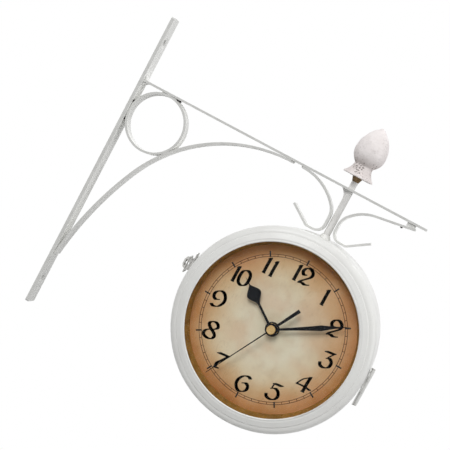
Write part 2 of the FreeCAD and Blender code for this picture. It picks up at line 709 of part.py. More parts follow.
# ---------------------------------------------------------------- movement
def movement_case():
    """Moulded clock movement: rounded box, threaded bushing, battery bay open at the back."""
    half = MOVEMENT_SIDE / 2
    front = front_y(DIAL_BACK_D)
    back = front + MOVEMENT_DEPTH
    body = block(V(HANGER_X - half, front, CASE_Z - half), V(HANGER_X + half, back, CASE_Z + half))
    corners = [edge for edge in body.Edges if abs(edge.Curve.Direction.y) > 0.9]
    body = body.makeFillet(MOVEMENT_CORNER_R, corners)
    bay_half = BATTERY_LENGTH / 2 + BATTERY_NUB + CONTACT_THICK + BAY_GAP
    bay_z = CASE_Z - BAY_DROP
    bay_r = BATTERY_R + BAY_GAP
    bay = block(V(HANGER_X - bay_half, front + BAY_FLOOR, bay_z - bay_r),
                V(HANGER_X + bay_half, back, bay_z + bay_r))
    body = body.cut(bay)
    at = V(HANGER_X, front_y(DIAL_D) - BUSHING_STAND, CASE_Z)
    bushing = cylinder(BUSHING_R, DIAL_THICK + BUSHING_STAND, at, Y_AXIS)
    body = fused([body, bushing])
    depth = BUSHING_STAND + DIAL_THICK + ARBOR_IN_CASE
    body = body.cut(cylinder(HOUR_ARBOR_R + ARBOR_GAP, depth, at, Y_AXIS))
    deeper = cylinder(minute_arbor_r() + ARBOR_GAP, depth + ARBOR_TAIL_STEP, at, Y_AXIS)
    body = body.cut(deeper)
    deepest = cylinder(second_arbor_r() + ARBOR_GAP, depth + 2 * ARBOR_TAIL_STEP, at, Y_AXIS)
    body = body.cut(deepest)
    stem_foot = V(HANGER_X, back - KNOB_STEM, CASE_Z + KNOB_RISE)
    return body.cut(cylinder(KNOB_STEM_R + ARBOR_GAP, KNOB_STEM, stem_foot, Y_AXIS))


def minute_arbor_r():
    return HOUR_ARBOR_R - HOUR_ARBOR_WALL - ARBOR_GAP


def second_arbor_r():
    return minute_arbor_r() - MINUTE_ARBOR_WALL - ARBOR_GAP


def hand_depth(rank):
    """Depth of the front of a hand: 0 hour, 1 minute, 2 second."""
    return DIAL_D - HOUR_HAND_STAND - HAND_THICK - rank * HAND_PITCH


def arbor(radius, bore, rank):
    """A hand's arbor from the hand's front down into the movement."""
    front = hand_depth(rank)
    back = DIAL_BACK_D + ARBOR_IN_CASE + rank * ARBOR_TAIL_STEP - ARBOR_GAP
    return disc(radius, front, back - front, bore)


def hour_arbor():
    return arbor(HOUR_ARBOR_R, minute_arbor_r() + ARBOR_GAP, 0)


def minute_arbor():
    return arbor(minute_arbor_r(), second_arbor_r() + ARBOR_GAP, 1)


def second_arbor():
    """Thin centre arbor with the round brass cap in front of the hands."""
    cap = disc(CAP_R, hand_depth(2) - CAP_THICK, CAP_THICK)
    back_y = front_y(hand_depth(2))
    rim_edges = [edge for edge in cap.Edges
                 if isinstance(edge.Curve, Part.Circle) and edge.Vertexes[0].Y < back_y - ARBOR_GAP]
    cap = cap.makeChamfer(CAP_THICK / 2, rim_edges)
    return fused([cap, arbor(second_arbor_r(), 0.0, 2)])


def movement_nut():
    """Hexagonal nut on the threaded bushing."""
    front = front_y(DIAL_D - WASHER_THICK - NUT_THICK)
    nut = hexagon(NUT_FLATS, NUT_THICK, V(HANGER_X, front, CASE_Z), Y_AXIS)
    return nut.cut(cylinder(BUSHING_R, NUT_THICK, V(HANGER_X, front, CASE_Z), Y_AXIS))


def movement_washer():
    return disc(WASHER_R, DIAL_D - WASHER_THICK, WASHER_THICK, BUSHING_R + SEAT_GAP)


def setting_knob():
    """Fluted thumb wheel on the movement's back."""
    back = front_y(DIAL_BACK_D) + MOVEMENT_DEPTH
    at = V(HANGER_X, back + SEAT_GAP, CASE_Z + KNOB_RISE)
    wheel = cylinder(KNOB_R, KNOB_STAND - SEAT_GAP, at, Y_AXIS)
    flutes = []
    for k in range(KNOB_FLUTES):
        rim_point = on_circle(at, KNOB_R, 360 * k / KNOB_FLUTES)
        flutes.append(cylinder(KNOB_FLUTE_R, KNOB_STAND, V(rim_point.x, at.y, rim_point.z), Y_AXIS))
    wheel = wheel.cut(flutes)
    stem = cylinder(KNOB_STEM_R, KNOB_STEM, V(at.x, back - KNOB_STEM + SEAT_GAP, at.z), Y_AXIS)
    return fused([wheel, stem])


def battery():
    """Cell on its side in the bay, contact nub towards +X."""
    axis_y = front_y(DIAL_BACK_D) + BAY_FLOOR + BATTERY_R
    start = V(HANGER_X - BATTERY_LENGTH / 2 - BATTERY_NUB / 2, axis_y, CASE_Z - BAY_DROP)
    cell = cylinder(BATTERY_R, BATTERY_LENGTH, start, X_AXIS)
    nub = cylinder(BATTERY_NUB_R, BATTERY_NUB, start + X_AXIS * BATTERY_LENGTH, X_AXIS)
    return fused([cell, nub])


def battery_contacts():
    """Two sprung plates, one at each end of the cell."""
    axis_y = front_y(DIAL_BACK_D) + BAY_FLOOR + BATTERY_R
    end = (BATTERY_LENGTH + BATTERY_NUB) / 2
    half = CONTACT_SIDE / 2
    plates = []
    for way in (-1, 1):
        near = HANGER_X + way * end
        far = near + way * CONTACT_THICK
        plates.append(block(V(min(near, far), axis_y - half, CASE_Z - BAY_DROP - half),
                            V(max(near, far), axis_y + half, CASE_Z - BAY_DROP + half)))
    return Part.Compound(plates)


# ---------------------------------------------------------------- hands
def flat_hand(outline, rank, boss_r, bore, degrees):
    """A hand cut from sheet, with its round boss and bore, turned to the time it shows."""
    blade = outline.extrude(V(0, HAND_THICK, 0))
    blade.translate(V(HANGER_X, front_y(hand_depth(rank)), CASE_Z))
    hand = fused([blade, disc(boss_r, hand_depth(rank), HAND_THICK)])
    if bore:
        hand = hand.cut(disc(bore, hand_depth(rank), HAND_THICK))
    return about_case(hand, degrees)


def hour_outline():
    """Slim stem, teardrop spade and a long fine tip."""
    low = SPADE_AT - SPADE_NECK
    high = SPADE_AT + SPADE_POINT
    stem = HOUR_STEM / 2
    tip = TIP_WIDE / 2
    half = SPADE_WIDE / 2

    def right(sign):
        neck = V(sign * stem, 0, low)
        side = V(sign * half, 0, SPADE_AT)
        point = V(sign * tip, 0, high)
        swell = Part.BSplineCurve()
        below = V(sign * half * SPADE_LOW_WIDE, 0, SPADE_AT - SPADE_NECK * SPADE_LOW_AT)
        above = V(sign * half * SPADE_HIGH_WIDE, 0, SPADE_AT + SPADE_POINT * SPADE_HIGH_AT)
        swell.interpolate([neck, below, side, above, point])
        return neck, point, swell.toShape()

    neck_r, point_r, curve_r = right(1)
    neck_l, point_l, curve_l = right(-1)
    top = V(0, 0, HOUR_LENGTH)
    foot_r = V(stem, 0, 0)
    foot_l = V(-stem, 0, 0)
    return face_of([line(foot_r, neck_r), curve_r, line(point_r, top), line(top, point_l), curve_l,
                    line(neck_l, foot_l), line(foot_l, foot_r)])


def minute_outline():
    """Lance: widens evenly to its widest place, then runs to a point in a slight curve."""
    stem = MINUTE_STEM / 2
    half = LANCE_WIDE / 2
    top = V(0, 0, MINUTE_LENGTH)
    sides = []
    for sign in (1, -1):
        foot = V(sign * stem, 0, 0)
        wide = V(sign * half, 0, LANCE_AT)
        lower = V(sign * (stem + half) * LANCE_LOW_WIDE, 0, LANCE_AT * LANCE_LOW_AT)
        upper = V(sign * half * LANCE_HIGH_WIDE, 0, (LANCE_AT + MINUTE_LENGTH) / 2)
        sides.append((foot, arc(foot, lower, wide), arc(wide, upper, top)))
    (foot_r, low_r, up_r), (foot_l, low_l, up_l) = sides
    return face_of([low_r, up_r, up_l, low_l, line(foot_l, foot_r)])


def second_outline():
    """Thin straight pointer with a broader square-ended counterweight."""
    half = SECOND_WIDE / 2
    tail = SECOND_TAIL_WIDE / 2
    root = SECOND_TAIL_ROOT / 2
    return polygon([V(-tail, 0, -SECOND_TAIL), V(tail, 0, -SECOND_TAIL), V(root, 0, 0), V(half, 0, 0),
                    V(half / 2, 0, SECOND_LENGTH), V(-half / 2, 0, SECOND_LENGTH), V(-half, 0, 0),
                    V(-root, 0, 0)])


def hour_hand():
    degrees = 30 * (SHOWN_HOUR + SHOWN_MINUTES / 60)
    return flat_hand(hour_outline(), 0, HOUR_BOSS_R, HOUR_ARBOR_R, degrees)


def minute_hand():
    return flat_hand(minute_outline(), 1, MINUTE_BOSS_R, minute_arbor_r(), 6 * SHOWN_MINUTES)


def second_hand():
    return flat_hand(second_outline(), 2, SECOND_BOSS_R, second_arbor_r(), 6 * SHOWN_SECONDS)


# ---------------------------------------------------------------- hinge
def knuckle(rank):
    """One knuckle of the barrel, counted from the bottom, bored for the pin."""
    pitch = HINGE_LENGTH / KNUCKLES
    low = HINGE_Z - HINGE_LENGTH / 2 + rank * pitch + KNUCKLE_GAP / 2
    return cylinder(HINGE_BARREL_R, pitch - KNUCKLE_GAP, V(PIN_X, SEAM_Y, low))


def hinge_leaf(way, ranks):
    """Flat leaf on the drum with its knuckles; way is 1 on the rear case, -1 on the door."""
    low_z = HINGE_Z - HINGE_LENGTH / 2 + KNUCKLE_GAP / 2
    high_z = HINGE_Z + HINGE_LENGTH / 2 - KNUCKLE_GAP / 2
    near_x = HANGER_X + CASE_R + LEAF_STAND
    edges = sorted((SEAM_Y + way * (HINGE_BARREL_R + KNUCKLE_GAP), SEAM_Y + way * LEAF_WIDE))
    leaf = block(V(near_x, edges[0], low_z), V(near_x + LEAF_THICK, edges[1], high_z))
    outer = [edge for edge in leaf.Edges if abs(edge.Curve.Direction.x) > 0.9
             and abs(edge.Vertexes[0].Y - SEAM_Y) > LEAF_WIDE / 2]
    leaf = leaf.makeFillet(LEAF_CORNER_R, outer)
    pieces = [leaf]
    for rank in ranks:
        barrel = knuckle(rank)
        box = barrel.BoundBox
        ends = sorted((SEAM_Y, SEAM_Y + way * (HINGE_BARREL_R + 2 * KNUCKLE_GAP)))
        tab = block(V(near_x, ends[0], box.ZMin), V(near_x + LEAF_THICK, ends[1], box.ZMax))
        pieces += [barrel, tab]
    leaf = fused(pieces)
    play = RUN_GAP if way < 0 else 0.0
    leaf = leaf.cut(cylinder(HINGE_PIN_R + play, HINGE_LENGTH, V(PIN_X, SEAM_Y, low_z - KNUCKLE_GAP)))
    return leaf.cut(rivet_holes(rear_rivets() if way > 0 else front_rivets()))


def hinge_pin():
    """Headed pin through the barrel, its foot spun over."""
    low = HINGE_Z - HINGE_LENGTH / 2
    pin = cylinder(HINGE_PIN_R, HINGE_LENGTH, V(PIN_X, SEAM_Y, low))
    heads = [cylinder(HINGE_PIN_HEAD_R, HINGE_PIN_HEAD, V(PIN_X, SEAM_Y, z))
             for z in (low - HINGE_PIN_HEAD, low + HINGE_LENGTH)]
    return fused([pin] + heads)


# ---------------------------------------------------------------- latch
def latch_place(back, stand, z=0.0):
    """A point on the latch side: behind the seam, above the plates' underside, along its width."""
    return V(HANGER_X - CASE_R - LEAF_STAND - stand, SEAM_Y + back, LATCH_Z + z)


def latch_slab(outline, low_z, high_z):
    """A slab across the latch's width from (back, stand) points."""
    points = [latch_place(back, stand, low_z) for back, stand in outline]
    return polygon(points).extrude(V(0, 0, high_z - low_z))


def latch_bar(radius, back, stand, low_z, high_z):
    """A round bar along the latch's width."""
    return cylinder(radius, high_z - low_z, latch_place(back, stand, low_z))


def latch_base():
    """Plate on the rear case with two upturned ears that hold the lever's pivot."""
    half = BASE_WIDE / 2
    plate = latch_slab([(BASE_FRONT, 0), (BASE_BACK, 0), (BASE_BACK, LATCH_SHEET),
                        (BASE_FRONT, LATCH_SHEET)], -half, half)
    pieces = [plate]
    ear_reach = EAR_HEIGHT - PIVOT_STAND
    for side in (-1, 1):
        low, high = sorted((side * EAR_SPAN / 2, side * (EAR_SPAN / 2 - LATCH_SHEET)))
        pieces.append(latch_slab([(PIVOT_BACK - 2 * ear_reach, 0), (PIVOT_BACK + 2 * ear_reach, 0),
                                  (PIVOT_BACK + ear_reach, PIVOT_STAND),
                                  (PIVOT_BACK - ear_reach, PIVOT_STAND)], low, high))
        pieces.append(latch_bar(ear_reach, PIVOT_BACK, PIVOT_STAND, low, high))
    base = fused(pieces)
    base = base.cut(latch_bar(PIVOT_R, PIVOT_BACK, PIVOT_STAND, -half, half))
    return base.cut(rivet_holes(rear_rivets()))


def latch_pivots():
    """Two headed stubs set in the base's ears, on which the lever's cheeks turn."""
    inner = EAR_SPAN / 2 - LATCH_SHEET
    outer = LEVER_WIDE / 2 + RUN_GAP
    stubs = []
    for side in (-1, 1):
        shank = sorted((side * inner, side * outer))
        head = sorted((side * outer, side * (outer + PIVOT_HEAD)))
        stubs.append(fused([latch_bar(PIVOT_R, PIVOT_BACK, PIVOT_STAND, shank[0], shank[1]),
                            latch_bar(PIVOT_HEAD_R, PIVOT_BACK, PIVOT_STAND, head[0], head[1])]))
    return Part.Compound(stubs)


def crank_point(angle):
    """Where the bail's pivot lies (back, stand) for a crank angle from straight back."""
    turn = math.radians(angle)
    return PIVOT_BACK + CRANK * math.cos(turn), PIVOT_STAND + CRANK * math.sin(turn)


def swung(shape, angle, back, stand):
    """Turns a shape on the latch side outwards from straight back, about a place on it."""
    copy = shape.copy()
    copy.rotate(latch_place(back, stand), Z_AXIS, angle)
    return copy


def latch_lever():
    """Channel lever: roof with a round hole and curled tip, two cheeks on the pivot pin."""
    half = LEVER_WIDE / 2
    cheek_r = PIVOT_R + LATCH_SHEET
    roof_low = PIVOT_STAND + LEVER_ROOF - LATCH_SHEET
    roof_high = PIVOT_STAND + LEVER_ROOF
    tip = PIVOT_BACK + LEVER_LENGTH
    roof = latch_slab([(PIVOT_BACK - LEVER_NOSE, roof_low), (tip, roof_low), (tip, roof_high),
                       (PIVOT_BACK - LEVER_NOSE, roof_high)], -half, half)
    corners = [edge for edge in roof.Edges if abs(edge.Curve.Direction.x) > 0.9
               and edge.Vertexes[0].Y > SEAM_Y + tip - LATCH_SHEET / 2]
    roof = roof.makeFillet(LEVER_CORNER_R, corners)
    curl = latch_bar(LEVER_TIP_CURL_R, tip - LEVER_TIP_CURL_R / 2, roof_high, -half / 2, half / 2)
    under = latch_slab([(PIVOT_BACK, 0), (tip + half, 0), (tip + half, roof_low), (PIVOT_BACK, roof_low)],
                       -half, half)
    curl = curl.cut(under)
    pieces = [roof, curl]
    crank_back, crank_stand = crank_point(CRANK_SHUT)
    for side in (-1, 1):
        near = side * half
        low, high = sorted((near, near - side * LATCH_SHEET))
        cheek = [(PIVOT_BACK - cheek_r, PIVOT_STAND), (crank_back, crank_stand - cheek_r),
                 (crank_back + cheek_r, crank_stand), (crank_back + cheek_r, roof_high),
                 (PIVOT_BACK - cheek_r, roof_high)]
        pieces.append(latch_slab(cheek, low, high))
        pieces.append(latch_bar(cheek_r, PIVOT_BACK, PIVOT_STAND, low, high))
    lever = fused(pieces)
    cuts = [latch_bar(PIVOT_R + RUN_GAP, PIVOT_BACK, PIVOT_STAND, -half, half),
            latch_bar(BAIL_WIRE_R + RUN_GAP, crank_back, crank_stand, -half, half),
            cylinder(LEVER_HOLE_R, 2 * LEVER_ROOF,
                     latch_place(PIVOT_BACK + LEVER_HOLE_AT, PIVOT_STAND), -X_AXIS)]
    lever = lever.cut(cuts)
    return swung(lever, LEVER_OPEN, PIVOT_BACK, PIVOT_STAND)


def bail_reach():
    """Bail pivot to cross wire, so that it meets the hook when shut."""
    back, stand = crank_point(CRANK_SHUT)
    return (back + HOOK_AHEAD) / -math.cos(math.radians(BAIL_SHUT))


def latch_bail():
    """Wire loop outside the lever: cross wire over the hook, legs, ends turned into the cheeks."""
    back, stand = crank_point(CRANK_SHUT + LEVER_OPEN)
    reach = bail_reach()
    leg_z = LEVER_WIDE / 2 + RUN_GAP + PIVOT_HEAD + LEG_GAP + BAIL_WIRE_R
    heading = math.radians(BAIL_OPEN)
    ahead = V(-math.sin(heading), math.cos(heading), 0)
    pivot = latch_place(back, stand)
    up = Z_AXIS * leg_z
    reach_in = leg_z - LEVER_WIDE / 2 + LATCH_SHEET
    pieces = [cylinder(BAIL_WIRE_R, 2 * leg_z, pivot + ahead * reach - up)]
    for side in (-1, 1):
        elbow = pivot + up * side
        pieces.append(cylinder(BAIL_WIRE_R, reach, elbow, ahead))
        pieces.append(cylinder(BAIL_WIRE_R, reach_in, elbow, Z_AXIS * -side))
        pieces += [Part.makeSphere(BAIL_WIRE_R, corner) for corner in (elbow, elbow + ahead * reach)]
    return fused(pieces)


def latch_keeper():
    """Plate across the door's edge with the hook that the bail's cross wire catches."""
    half = KEEPER_WIDE / 2
    plate = latch_slab([(-KEEPER_AHEAD, 0), (-KEEPER_NEAR, 0), (-KEEPER_NEAR, LATCH_SHEET),
                        (-KEEPER_AHEAD, LATCH_SHEET)], -half, half)
    corners = [edge for edge in plate.Edges if abs(edge.Curve.Direction.x) > 0.9]
    plate = plate.makeFillet(LATCH_SHEET, corners)
    hook_front = -HOOK_AHEAD + BAIL_WIRE_R + HOOK_GAP
    hook_back = hook_front + LATCH_SHEET
    hook = latch_slab([(hook_front, 0), (hook_back, 0), (hook_back, HOOK_TALL), (hook_front, HOOK_TALL)],
                      -HOOK_WIDE / 2, HOOK_WIDE / 2)
    tops = [edge for edge in hook.Edges if abs(edge.Curve.Direction.y) > 0.9
            and edge.Vertexes[0].X < HANGER_X - CASE_R - HOOK_TALL / 2]
    hook = hook.makeFillet(LATCH_SHEET, tops)
    keeper = fused([plate, hook])
    return keeper.cut(rivet_holes(front_rivets()))


# ---------------------------------------------------------------- finial, rod and collar
def hanger_collar():
    """Turned collar under the tube, its foot shaped to the drum."""
    cone = Part.makeCone(COLLAR_R, COLLAR_TOP_R, COLLAR_HEIGHT, V(HANGER_X, 0, CASE_TOP))
    skirt = cylinder(COLLAR_R, COLLAR_HEIGHT / 2, V(HANGER_X, 0, CASE_TOP - COLLAR_HEIGHT / 2))
    collar = fused([cone, skirt])
    collar = collar.cut(cylinder(CASE_R, CASE_HALF_DEPTH, V(HANGER_X, -CASE_HALF_DEPTH / 2, CASE_Z), Y_AXIS))
    return collar.cut(cylinder(ROD_R, CASE_R, V(HANGER_X, 0, CASE_TOP - COLLAR_HEIGHT)))


def socket_base():
    return ARM_Z + TUBE_ABOVE_ARM


def finial_socket():
    """Dark tapered nut that carries the finial on the tube's top."""
    cup = Part.makeCone(TUBE_R, SOCKET_TOP_R, SOCKET_HEIGHT, V(HANGER_X, 0, socket_base()))
    return cup.cut(cylinder(ROD_R, SOCKET_HEIGHT, V(HANGER_X, 0, socket_base())))


def finial():
    """Cast bud: rimmed flaring foot, waist, full bulb and a blunt point, bored for the rod."""
    low = socket_base() + SOCKET_HEIGHT

    def place(radius, height):
        return V(HANGER_X + radius, 0, low + height)

    def bowed(start, end, bow):
        chord = end - start
        across = V(chord.z, 0, -chord.x).normalize()
        return arc(start, (start + end) * 0.5 + across * bow, end)

    def on_crown(turn):
        return place(FINIAL_TIP_R * math.sin(turn), FINIAL_HEIGHT - FINIAL_TIP_R * (1 - math.cos(turn)))

    crown_turn = math.radians(FINIAL_CROWN_TURN)
    corners = [place(0, 0), place(FINIAL_BASE_R, 0), place(FINIAL_BASE_R - FINIAL_RIM_DRAW, FINIAL_RIM),
               place(FINIAL_WAIST_R, FINIAL_WAIST_AT), place(FINIAL_BULB_R, FINIAL_BULB_AT),
               on_crown(crown_turn), place(0, FINIAL_HEIGHT)]
    base, edge, rim_top, waist, bulb, shoulder, top = corners
    outline = face_of([line(base, edge), line(edge, rim_top), bowed(rim_top, waist, FINIAL_FOOT_BOW),
                       bowed(waist, bulb, FINIAL_LOWER_BOW), bowed(bulb, shoulder, FINIAL_UPPER_BOW),
                       arc(shoulder, on_crown(crown_turn / 2), top), line(top, base)])
    bud = outline.revolve(V(HANGER_X, 0, 0), Z_AXIS, 360)
    return bud.cut(cylinder(ROD_R, ROD_IN_FINIAL, V(HANGER_X, 0, low)))


def hanger_rod():
    """Threaded rod from inside the finial, through the tube, to its nut in the case."""
    low = CASE_TOP - ROD_IN_CASE
    high = socket_base() + SOCKET_HEIGHT + ROD_IN_FINIAL
    return cylinder(ROD_R, high - low, V(HANGER_X, 0, low))


def rod_washer():
    top = CASE_TOP - SHEET
    at = V(HANGER_X, 0, top - ROD_WASHER_THICK - SHEET)
    washer = cylinder(ROD_WASHER_R, ROD_WASHER_THICK + SHEET, at)
    inside = cylinder(CASE_R - SHEET, CASE_HALF_DEPTH, V(HANGER_X, -CASE_HALF_DEPTH / 2, CASE_Z), Y_AXIS)
    return washer.common(inside).cut(cylinder(ROD_R + SEAT_GAP, ROD_WASHER_THICK + SHEET, at))


def rod_nut():
    low = CASE_TOP - 2 * SHEET - ROD_WASHER_THICK - ROD_NUT_THICK
    nut = hexagon(ROD_NUT_FLATS, ROD_NUT_THICK, V(HANGER_X, 0, low), Z_AXIS)
    return nut.cut(cylinder(ROD_R, ROD_NUT_THICK, V(HANGER_X, 0, low)))


# ---------------------------------------------------------------- the assembly
def face_nodes():
    """Everything that each of the two faces has, drawn for the front."""
    return {
        "glass": glass(), "spacer_ring": spacer_ring(), "dial": dial(),
        "retaining_ring": retaining_ring(), "movement_case": movement_case(),
        "movement_nut": movement_nut(), "movement_washer": movement_washer(),
        "setting_knob": setting_knob(), "battery": battery(), "battery_contacts": battery_contacts(),
        "hour_arbor": hour_arbor(), "minute_arbor": minute_arbor(), "second_arbor": second_arbor(),
        "hour_hand": hour_hand(), "minute_hand": minute_hand(), "second_hand": second_hand(),
    }


def all_nodes():
    """Every piece of the clock under its node name."""
    nodes = {
        "wall_bar": wall_bar(), "arm_bar": arm_bar(), "ring": ring(), "brace": brace(),
        "inner_scroll": scroll(-1, False), "outer_scroll": scroll(1, True), "hanger_tube": hanger_tube(),
        "hanger_collar": hanger_collar(), "hanger_rod": hanger_rod(), "rod_washer": rod_washer(),
        "rod_nut": rod_nut(), "finial_socket": finial_socket(), "finial": finial(),
        "rear_case": rear_case(), "front_case": front_case(),
        "rear_hinge_leaf": hinge_leaf(1, (0, 2)), "front_hinge_leaf": hinge_leaf(-1, (1,)),
        "hinge_pin": hinge_pin(),
        "latch_base": latch_base(), "latch_pivots": latch_pivots(), "latch_lever": latch_lever(),
        "latch_bail": latch_bail(), "latch_keeper": latch_keeper(),
    }
    rear = [rivet(side, y, z, LEAF_THICK) for side, y, z in rear_rivets()]
    front = [rivet(side, y, z, LEAF_THICK) for side, y, z in front_rivets()]
    nodes["rear_case_rivets"] = Part.Compound(rear)
    nodes["front_case_rivets"] = Part.Compound(front)
    for name, shape in face_nodes().items():
        nodes["front_" + name] = shape
        nodes["rear_" + name] = other_side(shape)
    return nodes


os.makedirs("parts", exist_ok=True)
for node, solid in all_nodes().items():
    solid.exportStep("parts/" + node + ".step")
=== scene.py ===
"""Looks of a double sided station clock: a round case that hangs from a scrolled wall bracket.

Lengths are in metres in the part's own frame: +X away from the wall, +Z up, front dial towards -Y.
Every finish reads Object coordinates, so a pattern stays on its piece from every side.
"""

import enum
import json
import logging
import math
from dataclasses import dataclass, field

import bmesh
import bpy
from mathutils import Matrix, Vector, geometry, noise


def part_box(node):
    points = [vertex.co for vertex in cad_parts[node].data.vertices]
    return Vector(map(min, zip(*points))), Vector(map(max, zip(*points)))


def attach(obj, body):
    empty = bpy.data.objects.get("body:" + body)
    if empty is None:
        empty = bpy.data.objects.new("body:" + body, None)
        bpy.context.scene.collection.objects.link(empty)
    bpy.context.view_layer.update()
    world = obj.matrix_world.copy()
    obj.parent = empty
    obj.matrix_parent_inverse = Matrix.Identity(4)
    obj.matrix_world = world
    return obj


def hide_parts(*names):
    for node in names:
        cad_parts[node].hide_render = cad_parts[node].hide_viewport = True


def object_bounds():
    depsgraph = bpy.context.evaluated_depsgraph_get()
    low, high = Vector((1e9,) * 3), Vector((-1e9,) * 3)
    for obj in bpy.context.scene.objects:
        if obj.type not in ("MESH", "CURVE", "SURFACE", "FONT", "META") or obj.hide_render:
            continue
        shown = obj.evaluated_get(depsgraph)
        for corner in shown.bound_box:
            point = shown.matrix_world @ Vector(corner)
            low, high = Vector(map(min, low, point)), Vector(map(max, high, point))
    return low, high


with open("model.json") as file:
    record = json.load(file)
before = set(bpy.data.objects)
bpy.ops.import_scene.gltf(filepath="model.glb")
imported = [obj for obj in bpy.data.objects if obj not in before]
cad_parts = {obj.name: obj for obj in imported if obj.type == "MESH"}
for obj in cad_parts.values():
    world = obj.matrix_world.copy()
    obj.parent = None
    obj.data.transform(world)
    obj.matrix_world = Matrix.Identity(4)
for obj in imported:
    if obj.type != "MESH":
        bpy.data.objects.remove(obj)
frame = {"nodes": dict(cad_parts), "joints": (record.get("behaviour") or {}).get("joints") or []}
CAD_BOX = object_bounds()

LOG = logging.getLogger("station_clock")
MM = 0.001
Colour = tuple[int, int, int]
DIRT: Colour = (92, 86, 80)
WORN_WASH: Colour = (176, 160, 152)
PIT_BROWN: Colour = (78, 66, 60)
STAIN: Colour = (196, 150, 104)
WARM_PATCH: Colour = (226, 164, 120)
FIBRE: Colour = (140, 104, 70)


def linear(colour: Colour) -> tuple[float, float, float, float]:
    """Turns a display colour of 0 to 255 into the linear one that a shader takes.

    Args:
        colour: Red, green and blue as shown on a screen.

    Returns:
        Linear red, green, blue and an alpha of 1.
    """
    channels = []
    for value in colour:
        share = value / 255
        low = share <= 0.04045
        channels.append(share / 12.92 if low else ((share + 0.055) / 1.055) ** 2.4)
    return (channels[0], channels[1], channels[2], 1.0)


def joint_place(name: str) -> Vector:
    """The place of a joint's axis, from the frame.

    Args:
        name: Name of the joint.

    Returns:
        A point on the joint's axis at rest.
    """
    found = [joint for joint in frame["joints"] if joint["name"] == name]
    return Vector(found[0]["pos_m"])


HAND_AXIS = joint_place("front_minute_turn")
DIAL_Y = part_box("front_dial")[0][1]


class Side(enum.Enum):
    """The two faces of the clock, with the body that carries each one."""

    FRONT = "front_door"
    REAR = "clock_head"

    @property
    def prefix(self) -> str:
        """Start of the names of this face's nodes."""
        return self.name.lower() + "_"

    def node(self, part: str) -> str:
        """Name of this face's node for a part."""
        return self.prefix + part


# ---------------------------------------------------------------- shader trees
class ShaderGraph:
    """Adds nodes to one tree and joins them."""

    def __init__(self, tree: bpy.types.NodeTree) -> None:
        """Keeps the tree that the nodes go into."""
        self.tree = tree

    def add(self, kind: str, inputs: dict | None = None, **settings) -> bpy.types.Node:
        """Adds a node with its settings and inputs.

        Args:
            kind: The node's class name.
            inputs: Values or output sockets by input name or number.
            **settings: Properties of the node itself.

        Returns:
            The new node.
        """
        node = self.tree.nodes.new(kind)
        for name, value in settings.items():
            setattr(node, name, value)
        for name, value in (inputs or {}).items():
            self.feed(node, name, value)
        return node

    def feed(self, node: bpy.types.Node, name: str | int, value) -> None:
        """Sets an input, or links an output socket to it.

        Args:
            node: The node that takes the value.
            name: The input's name or number.
            value: A plain value, or another node's output socket.
        """
        if isinstance(value, bpy.types.NodeSocket):
            self.tree.links.new(value, node.inputs[name])
        else:
            node.inputs[name].default_value = value

    def place(self) -> bpy.types.NodeSocket:
        """The Object coordinates of the shaded point."""
        return self.add("ShaderNodeTexCoord").outputs["Object"]

    def noise(self, scale, detail: float = 4.0, stretch: Vector | None = None) -> bpy.types.NodeSocket:
        """A noise pattern on Object coordinates.

        Args:
            scale: Size of the pattern, a number or a socket.
            detail: How many finer layers it has.
            stretch: Share of the scale along each axis.

        Returns:
            The pattern's value, about 0.5 on average.
        """
        where = self.place()
        if stretch is not None:
            where = self.add("ShaderNodeMapping", {"Vector": where, "Scale": stretch}).outputs[0]
        return self.add("ShaderNodeTexNoise", {"Vector": where, "Scale": scale, "Detail": detail}).outputs[0]

    def ramp(self, value, low, high, start: float = 0.0, end: float = 1.0) -> bpy.types.NodeSocket:
        """Maps a value's range smoothly onto another, held at its ends.

        Args:
            value: The socket to map.
            low: Where the range starts.
            high: Where it ends.
            start: Result at low.
            end: Result at high.

        Returns:
            The mapped value.
        """
        inputs = {"Value": value, "From Min": low, "From Max": high, "To Min": start, "To Max": end}
        return self.add("ShaderNodeMapRange", inputs, interpolation_type="SMOOTHSTEP").outputs[0]

    def blend(self, share, first, second, mode: str = "MIX") -> bpy.types.NodeSocket:
        """Mixes two colours.

        Args:
            share: How much of the second shows.
            first: Colour or socket.
            second: Colour or socket.
            mode: The way they mix.

        Returns:
            The mixed colour.
        """
        node = self.add("ShaderNodeMix", data_type="RGBA", blend_type=mode)
        self.feed(node, "Factor", share)
        self.feed(node, 6, first)
        self.feed(node, 7, second)
        return node.outputs[2]

    def sum(self, first, second, operation: str = "ADD") -> bpy.types.NodeSocket:
        """A Math node of two values.

        Args:
            first: Value or socket.
            second: Value or socket.
            operation: The Math node's operation.

        Returns:
            The result.
        """
        return self.add("ShaderNodeMath", {0: first, 1: second}, operation=operation).outputs[0]


